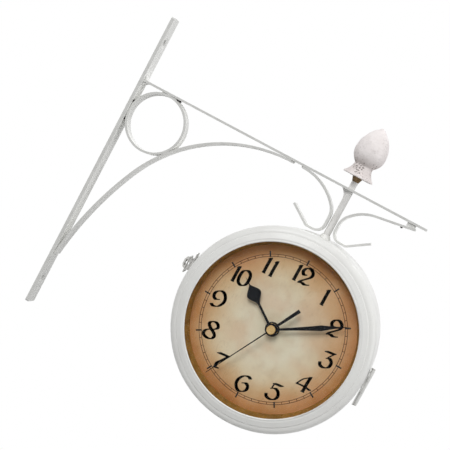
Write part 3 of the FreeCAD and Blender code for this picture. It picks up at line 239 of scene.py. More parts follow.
class Effects:
    """Shader node groups that several finishes share, each built once."""

    def __init__(self) -> None:
        """Starts with no group built."""
        self.groups: dict[str, bpy.types.NodeTree] = {}

    def mottle(self) -> bpy.types.NodeTree:
        """Cloudy change between two colours, as in paint, paper or stained metal."""
        sockets_in = {"Light": "NodeSocketColor", "Dark": "NodeSocketColor", "Scale": "NodeSocketFloat",
                      "Share": "NodeSocketFloat"}
        tree, graph, inside, result = self._open("mottle", sockets_in, {"Colour": "NodeSocketColor",
                                                                       "Mask": "NodeSocketFloat"})
        if result is not None:
            clouds = graph.noise(inside.outputs["Scale"], 5.0)
            mask = graph.ramp(clouds, 0.38, 0.68)
            amount = graph.sum(mask, inside.outputs["Share"], "MULTIPLY")
            colour = graph.blend(amount, inside.outputs["Light"], inside.outputs["Dark"])
            graph.feed(result, "Colour", colour)
            graph.feed(result, "Mask", mask)
        return tree

    def skin(self) -> bpy.types.NodeTree:
        """Fine unevenness of a surface as a normal: soft waves with finer grain on them."""
        sockets_in = {"Wave Scale": "NodeSocketFloat", "Grain Scale": "NodeSocketFloat",
                      "Grain Share": "NodeSocketFloat", "Height": "NodeSocketFloat"}
        tree, graph, inside, result = self._open("skin", sockets_in, {"Normal": "NodeSocketVector"})
        if result is not None:
            waves = graph.noise(inside.outputs["Wave Scale"], 1.0)
            grain = graph.noise(inside.outputs["Grain Scale"], 3.0)
            fine = graph.sum(grain, inside.outputs["Grain Share"], "MULTIPLY")
            whole = graph.sum(waves, fine)
            bump = graph.add("ShaderNodeBump", {"Strength": 1.0, "Distance": inside.outputs["Height"],
                                                "Height": whole})
            graph.feed(result, "Normal", bump.outputs[0])
        return tree

    def specks(self) -> bpy.types.NodeTree:
        """Sparse small spots, for pits in a casting, dirt in paint or fibres' ends in paper."""
        sockets_in = {"Scale": "NodeSocketFloat", "Size": "NodeSocketFloat", "Patch Scale": "NodeSocketFloat"}
        tree, graph, inside, result = self._open("specks", sockets_in, {"Mask": "NodeSocketFloat"})
        if result is not None:
            cells = graph.add("ShaderNodeTexVoronoi", {"Vector": graph.place(),
                                                       "Scale": inside.outputs["Scale"]})
            edge = graph.sum(inside.outputs["Size"], 1.6, "MULTIPLY")
            spot = graph.ramp(cells.outputs["Distance"], inside.outputs["Size"], edge, 1.0, 0.0)
            patches = graph.ramp(graph.noise(inside.outputs["Patch Scale"], 2.0), 0.5, 0.62)
            graph.feed(result, "Mask", graph.sum(spot, patches, "MULTIPLY"))
        return tree

    def _open(self, name: str, sockets_in: dict[str, str], sockets_out: dict[str, str]) -> tuple:
        """Finds a group, or starts it with its sockets.

        Args:
            name: The group's name.
            sockets_in: Socket types of its inputs by name.
            sockets_out: Socket types of its outputs by name.

        Returns:
            The tree, its graph, its input node and its output node, the last three None if it is built.
        """
        if name in self.groups:
            return self.groups[name], None, None, None
        tree = bpy.data.node_groups.new(name, "ShaderNodeTree")
        for direction, sockets in (("INPUT", sockets_in), ("OUTPUT", sockets_out)):
            for label, kind in sockets.items():
                tree.interface.new_socket(name=label, in_out=direction, socket_type=kind)
        self.groups[name] = tree
        graph = ShaderGraph(tree)
        return tree, graph, graph.add("NodeGroupInput"), graph.add("NodeGroupOutput")


EFFECTS = Effects()


# ---------------------------------------------------------------- finishes
@dataclass(frozen=True)
class Finish:
    """A surface's colours, gloss and unevenness; each kind of finish builds its own material."""

    name: str
    light: Colour
    dark: Colour
    roughness: float = 0.5
    metallic: float = 0.0
    mottle_scale: float = 60.0
    mottle_share: float = 0.5
    wave_scale: float = 160.0
    grain_scale: float = 1500.0
    grain_share: float = 0.3
    height: float = 0.00005

    def material(self) -> bpy.types.Material:
        """Builds the material once, or finds it.

        Returns:
            The material of this finish.
        """
        label = "look_" + self.name
        known = bpy.data.materials.get(label)
        if known is not None:
            return known
        made = bpy.data.materials.new(label)
        made.use_nodes = True
        graph = ShaderGraph(made.node_tree)
        shader = made.node_tree.nodes["Principled BSDF"]
        graph.feed(shader, "Metallic", self.metallic)
        graph.feed(shader, "Roughness", self.gloss(graph))
        graph.feed(shader, "Base Color", self.colour(graph))
        graph.feed(shader, "Normal", self.normal(graph))
        self.extras(graph, shader)
        return made

    def mottle(self, graph: ShaderGraph) -> bpy.types.Node:
        """The cloudy base of the colour.

        Args:
            graph: The material's tree.

        Returns:
            The group node, with a Colour and a Mask output.
        """
        inputs = {"Light": linear(self.light), "Dark": linear(self.dark), "Scale": self.mottle_scale,
                  "Share": self.mottle_share}
        return self._group(graph, EFFECTS.mottle(), inputs)

    def _group(self, graph: ShaderGraph, tree: bpy.types.NodeTree, inputs: dict) -> bpy.types.Node:
        """Places a shared group with its inputs.

        Args:
            graph: The material's tree.
            tree: The group.
            inputs: Values by input name.

        Returns:
            The group's node.
        """
        node = graph.add("ShaderNodeGroup", node_tree=tree)
        for name, value in inputs.items():
            graph.feed(node, name, value)
        return node

    def specks(self, graph: ShaderGraph, scale: float, size: float, patches: float) -> bpy.types.NodeSocket:
        """Sparse small spots.

        Args:
            graph: The material's tree.
            scale: How close the spots lie.
            size: How far each reaches, as a share of its cell.
            patches: Scale of the patches that hold them.

        Returns:
            The spots' mask.
        """
        inputs = {"Scale": scale, "Size": size, "Patch Scale": patches}
        return self._group(graph, EFFECTS.specks(), inputs).outputs["Mask"]

    def gloss(self, graph: ShaderGraph) -> bpy.types.NodeSocket:
        """Roughness, a little uneven."""
        return graph.ramp(graph.noise(self.mottle_scale * 2, 3.0), 0.3, 0.7, self.roughness * 0.85,
                          min(1.0, self.roughness * 1.2))

    def colour(self, graph: ShaderGraph) -> bpy.types.NodeSocket:
        """Base colour: the cloudy change between light and dark."""
        return self.mottle(graph).outputs["Colour"]

    def normal(self, graph: ShaderGraph) -> bpy.types.NodeSocket:
        """The surface's fine unevenness."""
        inputs = {"Wave Scale": self.wave_scale, "Grain Scale": self.grain_scale,
                  "Grain Share": self.grain_share, "Height": self.height}
        return self._group(graph, EFFECTS.skin(), inputs).outputs["Normal"]

    def extras(self, graph: ShaderGraph, shader: bpy.types.Node) -> None:
        """Sets what a kind of finish has beyond colour, gloss and normal."""


@dataclass(frozen=True)
class Enamel(Finish):
    """Sprayed or brushed paint on sheet metal: soft waves and a few darker specks."""

    speck_size: float = 0.10
    coat: float = 0.25
    shine: float = 0.4

    def colour(self, graph: ShaderGraph) -> bpy.types.NodeSocket:
        """Cloudy paint with sparse specks of dirt."""
        base = self.mottle(graph).outputs["Colour"]
        spots = graph.sum(self.specks(graph, 900.0, self.speck_size, 45.0), 0.55, "MULTIPLY")
        return graph.blend(spots, base, linear(DIRT))

    def extras(self, graph: ShaderGraph, shader: bpy.types.Node) -> None:
        """A thin clear skin over the paint."""
        graph.feed(shader, "Specular IOR Level", self.shine)
        graph.feed(shader, "Coat Weight", self.coat)
        graph.feed(shader, "Coat Roughness", 0.28)


@dataclass(frozen=True)
class StripPaint(Enamel):
    """Brushed paint on bent strip: full on the flats, with painted shade that greys the faces that look along Y.
    """

    # colour of the painted shade on the faces that look along Y, the strips' edges
    edge: Colour = (208, 208, 205)

    def colour(self, graph: ShaderGraph) -> bpy.types.NodeSocket:
        """Paint with painted shade that greys a face as it turns to look along Y, on the strips' edges."""
        facing = graph.add("ShaderNodeTexCoord").outputs["Normal"]
        along = graph.add("ShaderNodeSeparateXYZ", {0: facing}).outputs["Y"]
        # painted shade: the edges grey by the way they face, not by their paint; noise makes its strength a
        # little uneven
        share = graph.ramp(graph.sum(along, 0.0, "ABSOLUTE"), 0.35, 0.85)
        uneven_shade = graph.ramp(graph.noise(160.0, 4.0), 0.3, 0.7, 0.8, 1.0)
        return graph.blend(graph.sum(share, uneven_shade, "MULTIPLY"), super().colour(graph), linear(self.edge))


@dataclass(frozen=True)
class CastWash(Finish):
    """A casting under a pale wash: dark pits and worn patches where the wash is thin."""

    waist: float = 0.104
    waist_reach: float = 0.012

    def colour(self, graph: ShaderGraph) -> bpy.types.NodeSocket:
        """Wash that thins and pits around the waist."""
        height = graph.add("ShaderNodeSeparateXYZ", {0: graph.place()}).outputs["Z"]
        away = graph.sum(graph.sum(height, self.waist, "SUBTRACT"), 0.0, "ABSOLUTE")
        near = graph.ramp(away, self.waist_reach * 0.3, self.waist_reach, 1.0, 0.22)
        pits = self.specks(graph, 520.0, 0.30, 120.0)
        fine = self.specks(graph, 1300.0, 0.26, 210.0)
        both = graph.sum(graph.sum(pits, fine, "MAXIMUM"), near, "MULTIPLY")
        base = self.mottle(graph).outputs["Colour"]
        shaded = graph.blend(graph.sum(near, 0.30, "MULTIPLY"), base, linear(WORN_WASH))
        return graph.blend(graph.sum(both, 0.8, "MULTIPLY"), shaded, linear(PIT_BROWN))


@dataclass(frozen=True)
class AgedPaper(Finish):
    """Dial paper browned towards its rim, with stains and fine fibres, on a card whose back is bare.

    The finish's light and dark colours are those of the bare card.
    """

    rim: float = 0.076

    def colour(self, graph: ShaderGraph) -> bpy.types.NodeSocket:
        """Warm parchment whose tone follows the distance from the hands' axis, and card behind it."""
        offset = graph.add("ShaderNodeVectorMath", {0: graph.place(), 1: HAND_AXIS}, operation="SUBTRACT")
        flat = graph.add("ShaderNodeVectorMath", {0: offset.outputs[0], 1: Vector((1.0, 0.0, 1.0))},
                         operation="MULTIPLY")
        radius = graph.add("ShaderNodeVectorMath", {0: flat.outputs[0]}, operation="LENGTH").outputs["Value"]
        wobble = graph.ramp(graph.noise(38.0, 3.0), 0.3, 0.7, -0.0035, 0.0035)
        reach = graph.ramp(graph.sum(radius, wobble), 0.0, self.rim)
        share = graph.sum(graph.sum(radius, wobble), self.rim, "DIVIDE")
        tone = graph.add("ShaderNodeValToRGB", {"Fac": share})
        self._stops(tone.color_ramp)
        patches = graph.ramp(graph.noise(70.0, 6.0), 0.42, 0.68)
        stained = graph.blend(graph.sum(patches, 0.2, "MULTIPLY"), tone.outputs[0], linear(STAIN))
        warm = graph.ramp(graph.noise(24.0, 2.0), 0.45, 0.62)
        tinted = graph.blend(graph.sum(warm, 0.3, "MULTIPLY"), stained, linear(WARM_PATCH))
        fibres = graph.ramp(graph.noise(900.0, 2.0, Vector((1.0, 1.0, 0.35))), 0.55, 0.8)
        amount = graph.sum(graph.sum(fibres, reach, "MULTIPLY"), 0.3, "MULTIPLY")
        printed = graph.blend(amount, tinted, linear(FIBRE))
        return graph.blend(self._backed(graph), self.mottle(graph).outputs["Colour"], printed)

    def _backed(self, graph: ShaderGraph) -> bpy.types.NodeSocket:
        """Share of the print: 1 on the outer face of either dial, 0 on its bare card back."""
        sides = [graph.add("ShaderNodeSeparateXYZ", {0: source}).outputs["Y"]
                 for source in (graph.add("ShaderNodeTexCoord").outputs["Normal"], graph.place())]
        return graph.ramp(graph.sum(sides[0], sides[1], "MULTIPLY"), -0.002, 0.002)

    def _stops(self, ramp: bpy.types.ColorRamp) -> None:
        """Sets the ramp's colours from the centre to the rim.

        Args:
            ramp: The colour ramp, with its two first stops.
        """
        ramp.elements[0].color = linear((236, 222, 196))
        ramp.elements[1].color = linear((168, 104, 50))
        middle = ((0.30, (247, 235, 213)), (0.58, (240, 219, 188)), (0.72, (226, 190, 148)),
                  (0.88, (200, 142, 90)))
        for place, colour in middle:
            ramp.elements.new(place).color = linear(colour)


@dataclass(frozen=True)
class Plated(Finish):
    """Plated or bare metal: bright, with smears in its gloss and faint pits."""

    def gloss(self, graph: ShaderGraph) -> bpy.types.NodeSocket:
        """Roughness in long smears, as a wiped plating has."""
        smears = graph.noise(self.mottle_scale * 3, 4.0, Vector((1.0, 0.25, 1.0)))
        return graph.ramp(smears, 0.3, 0.7, self.roughness * 0.6, min(1.0, self.roughness * 1.7))

    def colour(self, graph: ShaderGraph) -> bpy.types.NodeSocket:
        """Metal colour with dull spots."""
        base = self.mottle(graph).outputs["Colour"]
        return graph.blend(graph.sum(self.specks(graph, 1600.0, 0.22, 130.0), 0.6, "MULTIPLY"), base,
                           linear(self.dark))


@dataclass(frozen=True)
class Turned(Plated):
    """Lathe-turned metal: fine rings of tool marks around the hands' axis."""

    pitch: float = 0.0006

    def normal(self, graph: ShaderGraph) -> bpy.types.NodeSocket:
        """Fine grooves round the axis."""
        local = graph.add("ShaderNodeVectorMath", {0: graph.place(), 1: HAND_AXIS}, operation="SUBTRACT")
        rings = graph.add("ShaderNodeTexWave", {"Vector": local.outputs[0], "Scale": 0.314 / self.pitch,
                                               "Distortion": 0.6, "Detail": 1.0},
                          wave_type="RINGS", rings_direction="Y")
        return graph.add("ShaderNodeBump", {"Strength": 0.6, "Distance": self.height,
                                            "Height": rings.outputs["Fac"]}).outputs[0]


@dataclass(frozen=True)
class Banded(Finish):
    """A printed skin: bands along one axis over the base."""

    across: tuple[float, float, float] = (1.0, 0.0, 0.0)
    band: float = 0.02
    band_colour: Colour = (60, 60, 60)

    def colour(self, graph: ShaderGraph) -> bpy.types.NodeSocket:
        """Bands of the second colour."""
        along = graph.add("ShaderNodeVectorMath", {0: graph.place(), 1: self.across},
                          operation="DOT_PRODUCT").outputs["Value"]
        turn = graph.sum(graph.sum(along, 2 * math.pi / self.band, "MULTIPLY"), 0.0, "SINE")
        mask = graph.ramp(turn, -0.05, 0.05)
        return graph.blend(mask, self.mottle(graph).outputs["Colour"], linear(self.band_colour))


@dataclass(frozen=True)
class Threaded(Plated):
    """Plated steel with the fine ridges of a screw thread along Z."""

    pitch: float = 0.001

    def normal(self, graph: ShaderGraph) -> bpy.types.NodeSocket:
        """Ridges a pitch apart."""
        height = graph.add("ShaderNodeSeparateXYZ", {0: graph.place()}).outputs["Z"]
        ridges = graph.sum(graph.sum(height, 2 * math.pi / self.pitch, "MULTIPLY"), 0.0, "SINE")
        return graph.add("ShaderNodeBump", {"Strength": 1.0, "Distance": self.height,
                                            "Height": ridges}).outputs[0]


@dataclass(frozen=True)
class ClearGlass(Finish):
    """A thin clear pane, with dust that shows where it lies thick."""

    def extras(self, graph: ShaderGraph, shader: bpy.types.Node) -> None:
        """Lets light through, more of it face on than at a slant."""
        made = graph.tree
        output = made.nodes["Material Output"]
        clear = graph.add("ShaderNodeBsdfTransparent", {"Color": linear((253, 254, 253))})
        sheen = graph.add("ShaderNodeBsdfGlossy", {"Color": linear((235, 240, 240)), "Roughness": 0.06})
        slant = graph.add("ShaderNodeFresnel", {"IOR": 1.1})
        pane = graph.add("ShaderNodeMixShader", {0: slant.outputs[0], 1: clear.outputs[0],
                                                 2: sheen.outputs[0]})
        dust = graph.sum(self.specks(graph, 700.0, 0.08, 30.0), 0.25, "MULTIPLY")
        whole = graph.add("ShaderNodeMixShader", {0: dust, 1: pane.outputs[0], 2: shader.outputs[0]})
        made.links.new(whole.outputs[0], output.inputs["Surface"])


WHITE_CASE = Enamel("case_enamel", (234, 234, 231), (225, 224, 221), 0.42, mottle_scale=40.0, height=0.000012)
TUBE_PAINT = Enamel("tube_satin", (224, 223, 221), (208, 207, 204), 0.36, mottle_scale=70.0, height=0.000012)
# the strip paint's grey edge colour is painted shade on the faces that look along Y
BRACKET_PAINT = StripPaint("bracket_paint", (254, 254, 252), (246, 246, 243), 0.62, mottle_scale=70.0,
                           wave_scale=180.0, grain_share=0.1, height=0.00002, speck_size=0.06, coat=0.0,
                           shine=0.2)
WASH = CastWash("finial_wash", (251, 245, 244), (232, 225, 223), 0.62, mottle_scale=90.0, wave_scale=300.0,
                height=0.00025)
PAPER = AgedPaper("aged_paper", (176, 166, 148), (150, 136, 114), 0.75, wave_scale=400.0, height=0.00002)
INK = Finish("printer_ink", (20, 17, 16), (40, 33, 29), 0.6, mottle_share=0.6, mottle_scale=300.0)
BROWN_INK = Finish("faded_ink", (84, 52, 32), (112, 76, 48), 0.7, mottle_share=0.7, mottle_scale=260.0)
HAND_ENAMEL = Enamel("hand_enamel", (18, 19, 23), (34, 36, 43), 0.5, speck_size=0.05, coat=0.0, shine=0.12)
NICKEL = Plated("nickel", (196, 195, 192), (120, 118, 112), 0.26, metallic=1.0, mottle_scale=110.0)
BRASS = Turned("turned_brass", (208, 176, 126), (158, 124, 80), 0.34, metallic=1.0, height=0.00003)
DARK_BRASS = Plated("dark_brass", (104, 86, 62), (56, 45, 34), 0.42, metallic=1.0, mottle_scale=180.0)
GILT = Plated("gilt", (172, 134, 68), (112, 86, 42), 0.45, metallic=0.5, mottle_scale=140.0)
ZINC = Plated("zinc_plate", (178, 180, 182), (112, 114, 116), 0.38, metallic=1.0, mottle_scale=150.0)
THREAD = Threaded("threaded_rod", (172, 172, 170), (96, 94, 90), 0.35, metallic=1.0, height=0.0003)
GLASS = ClearGlass("clear_glass", (226, 224, 218), (206, 202, 192), 0.7)
MOVEMENT = Finish("movement_moulding", (38, 38, 40), (54, 54, 57), 0.55, wave_scale=700.0, grain_scale=3200.0,
                  grain_share=0.8, height=0.00004)
KNOB = Finish("knob_moulding", (198, 195, 184), (178, 174, 162), 0.4, grain_share=0.5)
RUBBER = Finish("rubber", (34, 33, 32), (58, 56, 53), 0.85, mottle_scale=200.0, mottle_share=0.8)
SLEEVE = Banded("battery_sleeve", (44, 62, 48), (34, 48, 38), 0.3, band=0.062, band_colour=(196, 160, 92))
SPRING = Plated("spring_steel", (150, 150, 152), (96, 96, 98), 0.3, metallic=1.0, mottle_scale=220.0)
# painted shade: a near-black finish for the shade in the wedges beside the bracket's welds
WEDGE_SHADE = Finish("painted_wedge_shade", (44, 38, 35), (20, 18, 17), 0.9, mottle_scale=900.0, mottle_share=0.8)
BACKDROP = Finish("studio_floor", (244, 244, 243), (236, 236, 235), 0.8, mottle_scale=3.0, mottle_share=0.3,
                  wave_scale=60.0, height=0.0004)


# ---------------------------------------------------------------- making pieces
class Maker:
    """Gathers closed solids into one mesh and hands it over as a piece."""

    def __init__(self) -> None:
        """Starts with an empty mesh."""
        self.mesh = bmesh.new()

    def prism(self, base: list[Vector], rise: Vector) -> None:
        """Adds a straight prism.

        Args:
            base: Corners of its one end, in order.
            rise: From that end to the other.
        """
        low = [self.mesh.verts.new(point) for point in base]
        high = [self.mesh.verts.new(point + rise) for point in base]
        self.mesh.faces.new(low)
        self.mesh.faces.new(high[::-1])
        for start in range(len(base)):
            end = (start + 1) % len(base)
            self.mesh.faces.new((low[start], high[start], high[end], low[end]))

    def block(self, size: Vector, place: Matrix) -> None:
        """Adds a box.

        Args:
            size: Its lengths along its own axes.
            place: Where its middle goes, and how it is turned.
        """
        half = size / 2
        corners = ((-half.x, -half.z), (half.x, -half.z), (half.x, half.z), (-half.x, half.z))
        base = [place @ Vector((x, -half.y, z)) for x, z in corners]
        self.prism(base, place.to_3x3() @ Vector((0.0, size.y, 0.0)))

    def lathe(self, outline: list[tuple[float, float]], place: Matrix, steps: int = 96) -> None:
        """Turns a closed outline round the local Z axis.

        Args:
            outline: Distances from the axis and heights, all off the axis.
            place: Where the turned ring goes.
            steps: Sides of the ring.
        """
        start = [self.mesh.verts.new(Vector((radius, 0.0, height))) for radius, height in outline]
        edges = [self.mesh.edges.new((start[i - 1], start[i])) for i in range(len(start))]
        made = bmesh.ops.spin(self.mesh, geom=start + edges, cent=Vector(), axis=Vector((0, 0, 1)),
                              angle=2 * math.pi, steps=steps, use_merge=True, use_duplicate=False)
        ring = set(start) | {item for item in made["geom_last"] if isinstance(item, bmesh.types.BMVert)}
        seen, ahead = set(ring), list(ring)
        while ahead:
            for edge in ahead.pop().link_edges:
                for vert in edge.verts:
                    if vert not in seen:
                        seen.add(vert)
                        ahead.append(vert)
        bmesh.ops.transform(self.mesh, matrix=place, verts=list(seen))

    def piece(self, name: str, finish: Finish, body: str, smooth: bool = False,
              turn: Matrix | None = None) -> bpy.types.Object:
        """Closes the mesh and makes it a piece that rides on a body.

        Args:
            name: Name of the piece.
            finish: Its finish.
            body: The CAD body that carries it.
            smooth: Whether its faces are shaded smooth.
            turn: A last placing of the whole mesh.

        Returns:
            The new object.
        """
        if turn is not None:
            self.mesh.transform(turn)
        bmesh.ops.recalc_face_normals(self.mesh, faces=self.mesh.faces)
        for face in self.mesh.faces:
            face.smooth = smooth
        data = bpy.data.meshes.new(name)
        self.mesh.to_mesh(data)
        self.mesh.free()
        made = bpy.data.objects.new(name, data)
        bpy.context.scene.collection.objects.link(made)
        data.materials.append(finish.material())
        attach(made, body)
        return made


def about_head(turned_round: bool) -> Matrix:
    """Half a turn about the hanger's axis, which takes the front face to the rear.

    Args:
        turned_round: Whether to turn at all.

    Returns:
        The placing, or no change.
    """
    centre = Vector((HAND_AXIS.x, 0.0, 0.0))
    turn = Matrix.Rotation(math.pi if turned_round else 0.0, 4, "Z")
    return Matrix.Translation(centre) @ turn @ Matrix.Translation(-centre)


# ---------------------------------------------------------------- the dials' print
NIB = 2.8
BAR_NIB = 3.3
MEDIUM_NIB = 1.9
THIN_NIB = 1.0


@dataclass(frozen=True)
class Stroke:
    """One pass of a flat pen, in mm from the digit's middle."""

    nib: float
    points: tuple[tuple[float, float], ...]

    def path(self, steps: int = 7) -> list[Vector]:
        """A smooth curve through the points.

        Args:
            steps: Parts between two points.

        Returns:
            Places along the curve.
        """
        spots = [Vector(point) for point in self.points]
        closed = (spots[0] - spots[-1]).length < 0.01
        before = spots[-2] if closed else spots[0] * 2 - spots[1]
        after = spots[1] if closed else spots[-1] * 2 - spots[-2]
        line = [before] + spots + [after]
        places = []
        for first, start, end, last in zip(line, line[1:], line[2:], line[3:]):
            for step in range(steps):
                t = step / steps
                bend = 2 * first - 5 * start + 4 * end - last
                twist = 3 * start - first - 3 * end + last
                places.append(0.5 * (2 * start + (end - first) * t + bend * t**2 + twist * t**3))
        return places + [spots[-1]]


DIGITS = {
    "0": (
        Stroke(NIB, ((0.0, 7.0), (3.4, 5.0), (4.4, 0.0), (3.4, -5.0), (0.0, -7.0), (-3.5, -5.0), (-4.4, 0.0),
                     (-3.5, 5.0), (0.0, 7.0))),
    ),
    "1": (
        Stroke(NIB, ((0.2, 6.9), (0.0, -0.2), (0.0, -6.9))),
        Stroke(THIN_NIB, ((-1.4, 5.3), (0.2, 6.7))),
        Stroke(THIN_NIB, ((-1.2, -7.2), (1.3, -7.2))),
    ),
    "2": (
        Stroke(NIB, ((-0.9, 1.0), (-3.0, 0.9), (-4.4, 3.7), (-2.5, 7.0), (0.8, 7.7), (4.1, 5.3), (4.1, 1.8),
                     (1.1, -1.6), (-2.1, -4.8), (-3.3, -7.0))),
        Stroke(NIB, ((-3.3, -7.0), (-0.7, -6.1), (1.8, -6.7), (4.6, -5.6))),
    ),
    "3": (
        Stroke(BAR_NIB, ((-4.0, 6.6), (3.2, 7.5))),
        Stroke(THIN_NIB, ((2.8, 7.1), (-0.4, 2.5))),
        Stroke(NIB, ((-0.7, 1.7), (1.6, 2.2), (4.2, -0.5), (3.7, -4.8), (0.0, -7.0), (-3.4, -6.4), (-4.8, -4.1))),
    ),
    "4": (
        Stroke(THIN_NIB, ((1.1, 6.2), (-3.1, 2.5), (-6.1, -3.0))),
        Stroke(MEDIUM_NIB, ((-6.1, -3.1), (-0.1, -2.5), (6.6, -3.0))),
        Stroke(NIB, ((2.1, 7.2), (1.7, 0.5), (1.6, -6.7))),
        Stroke(THIN_NIB, ((0.2, -7.2), (2.9, -7.0))),
    ),
    "5": (
        Stroke(BAR_NIB, ((-2.8, 6.7), (3.8, 7.5))),
        Stroke(THIN_NIB, ((-2.8, 6.2), (-3.1, 2.4))),
        Stroke(NIB, ((-3.1, 1.8), (0.0, 3.2), (3.4, 1.4), (4.7, -2.5), (2.8, -6.0), (-0.9, -7.2), (-4.1, -6.4),
                     (-5.3, -4.4))),
    ),
    "6": (
        Stroke(NIB, ((3.9, 6.6), (1.4, 7.6), (-2.5, 6.0), (-5.3, 1.4), (-5.0, -3.4), (-1.8, -6.9), (1.8, -6.9),
                     (5.0, -3.9), (4.8, -0.2), (2.3, 1.5), (-0.1, 0.6))),
    ),
    "7": (
        Stroke(BAR_NIB, ((-4.2, 5.7), (4.7, 6.7))),
        Stroke(NIB, ((4.6, 6.3), (1.5, 1.8), (-1.7, -2.8), (-1.6, -6.5))),
        Stroke(MEDIUM_NIB, ((-2.5, -7.2), (1.4, -6.5))),
    ),
    "8": (
        Stroke(NIB, ((0.2, 7.8), (-3.4, 6.3), (-4.0, 3.7), (-1.1, 1.1), (2.5, -0.8), (4.9, -3.4), (3.7, -6.7),
                     (-0.2, -7.8), (-4.1, -6.6), (-5.0, -3.7), (-2.5, -0.6), (1.8, 1.4), (4.3, 4.1), (3.2, 6.7),
                     (0.2, 7.8))),
    ),
}
DIGITS["9"] = tuple(Stroke(stroke.nib, tuple((-x, -y) for x, y in stroke.points)) for stroke in DIGITS["6"])


@dataclass
class DialFace:
    """One dial with its printed numerals and minute track."""

    side: Side
    numeral_radius: float = 53.5
    digit_gap: float = 6.4
    wide_share: float = 1.28
    print_height: float = 0.06
    nib_angle: float = math.radians(30)
    nib_edge: float = 0.8
    track_radii: tuple[float, float] = (62.4, 64.4)
    track_line: float = 0.5
    spindle_reach: tuple[float, float] = (62.0, 67.2)
    spindle_width: float = 1.3
    tick_width: float = 0.55

    def build(self) -> None:
        """Makes the numerals and the track."""
        self._numerals()
        self._track()

    @property
    def _turn(self) -> Matrix:
        """Takes the front face to this one."""
        return about_head(self.side is Side.REAR)

    def _spot(self, x: float, y: float, height: float) -> Vector:
        """A place on the front dial.

        Args:
            x: Mm right of the hands' axis.
            y: Mm above it.
            height: Mm out of the dial.

        Returns:
            The place in the row frame.
        """
        return Vector((HAND_AXIS.x + x * MM, DIAL_Y - height * MM, HAND_AXIS.z + y * MM))

    def _numerals(self) -> None:
        """Pens the numbers 1 to 12, each upright in its place."""
        ink = Maker()
        for hour in range(1, 13):
            angle = math.radians(90 - 30 * hour)
            text = str(hour)
            for place, digit in enumerate(text):
                aside = (place - (len(text) - 1) / 2) * self._advance(text)
                x = self.numeral_radius * math.cos(angle) + aside
                y = self.numeral_radius * math.sin(angle)
                for stroke in DIGITS[digit]:
                    self._pen(ink, stroke, x, y)
        for hour in range(12):
            self._tick(ink, 30 * hour, self.spindle_reach, self.spindle_width)
        ink.piece(self.side.node("numerals"), INK, self.side.value, turn=self._turn)

    def _advance(self, text: str) -> float:
        """Mm between the middles of a number's two digits."""
        return self.digit_gap if text == "11" else self.digit_gap * self.wide_share

    def _pen(self, ink: Maker, stroke: Stroke, x: float, y: float) -> None:
        """Draws one stroke with the flat nib.

        Args:
            ink: The mesh that takes it.
            stroke: The stroke.
            x: Mm from the axis to the digit's middle.
            y: Mm above the axis.
        """
        across = Vector((math.cos(self.nib_angle), math.sin(self.nib_angle))) * stroke.nib / 2
        along = Vector((-across.y, across.x)).normalized() * self.nib_edge / 2
        places = stroke.path()
        for first, second in zip(places, places[1:]):
            corners = [spot + across * a + along * b
                       for spot in (first, second) for a in (-1, 1) for b in (-1, 1)]
            outline = [corners[index] for index in geometry.convex_hull_2d(corners)]
            base = [self._spot(x + corner.x, y + corner.y, 0.0) for corner in outline]
            ink.prism(base, Vector((0.0, -self.print_height * MM, 0.0)))

    def _tick(self, ink: Maker, degrees: float, reach: tuple[float, float], width: float) -> None:
        """Prints one radial bar.

        Args:
            ink: The mesh that takes it.
            degrees: Clockwise from the top.
            reach: Radii of its ends in mm.
            width: Its width in mm.
        """
        turn = Matrix.Rotation(math.radians(degrees), 4, "Y")
        size = Vector((width, self.print_height * 1.04, reach[1] - reach[0])) * MM
        middle = Matrix.Translation(Vector((0.0, 0.0, sum(reach) / 2 * MM)))
        ink.block(size, Matrix.Translation(self._spot(0, 0, self.print_height / 2)) @ turn @ middle)

    def _track(self) -> None:
        """Prints the two circles and the ticks between them."""
        ink = Maker()
        flat = Matrix.Translation(self._spot(0, 0, 0)) @ Matrix.Rotation(math.radians(90), 4, "X")
        height = self.print_height * MM
        for radius in self.track_radii:
            inner, outer = (radius - self.track_line / 2) * MM, (radius + self.track_line / 2) * MM
            ink.lathe([(inner, 0.0), (outer, 0.0), (outer, height), (inner, height)], flat, 180)
        for minute in range(60):
            if minute % 5:
                self._tick(ink, 6 * minute, self.track_radii, self.tick_width)
        ink.piece(self.side.node("minute_track"), BROWN_INK, self.side.value, turn=self._turn)


# ---------------------------------------------------------------- the object
class CadFinishes:
    """Gives each CAD node the finish of its real material."""

    SHARED = {
        BRACKET_PAINT: ("wall_bar", "arm_bar", "ring", "brace", "inner_scroll", "outer_scroll"),
        WHITE_CASE: ("rear_case", "front_case", "rear_case_rivets", "front_case_rivets",
                     "rear_hinge_leaf", "front_hinge_leaf", "hanger_collar"),
        TUBE_PAINT: ("hanger_tube",),
        NICKEL: ("latch_base", "latch_pivots", "latch_lever", "latch_bail", "latch_keeper", "hinge_pin"),
        THREAD: ("hanger_rod",),
        ZINC: ("rod_washer", "rod_nut"),
        DARK_BRASS: ("finial_socket",),
        WASH: ("finial",),
    }
    PER_FACE = {
        GLASS: ("glass",),
        GILT: ("spacer_ring",),
        PAPER: ("dial",),
        ZINC: ("retaining_ring",),
        MOVEMENT: ("movement_case",),
        BRASS: ("movement_nut", "hour_arbor", "minute_arbor", "second_arbor"),
        RUBBER: ("movement_washer",),
        KNOB: ("setting_knob",),
        SLEEVE: ("battery",),
        SPRING: ("battery_contacts",),
        HAND_ENAMEL: ("hour_hand", "minute_hand", "second_hand"),
    }

    def dress(self) -> None:
        """Puts the finishes into the nodes' material slots."""
        for finish, nodes in self.SHARED.items():
            for node in nodes:
                self._wear(node, finish)
        for side in Side:
            for finish, parts in self.PER_FACE.items():
                for part in parts:
                    self._wear(side.node(part), finish)

    def _wear(self, node: str, finish: Finish) -> None:
        """Puts one finish on one node.

        Args:
            node: Name of the CAD node.
            finish: The finish.
        """
        wearer = frame["nodes"][node]
        if not wearer.material_slots:
            LOG.warning("no slot on %s", node)
            return
        for place in wearer.material_slots:
            place.material = finish.material()


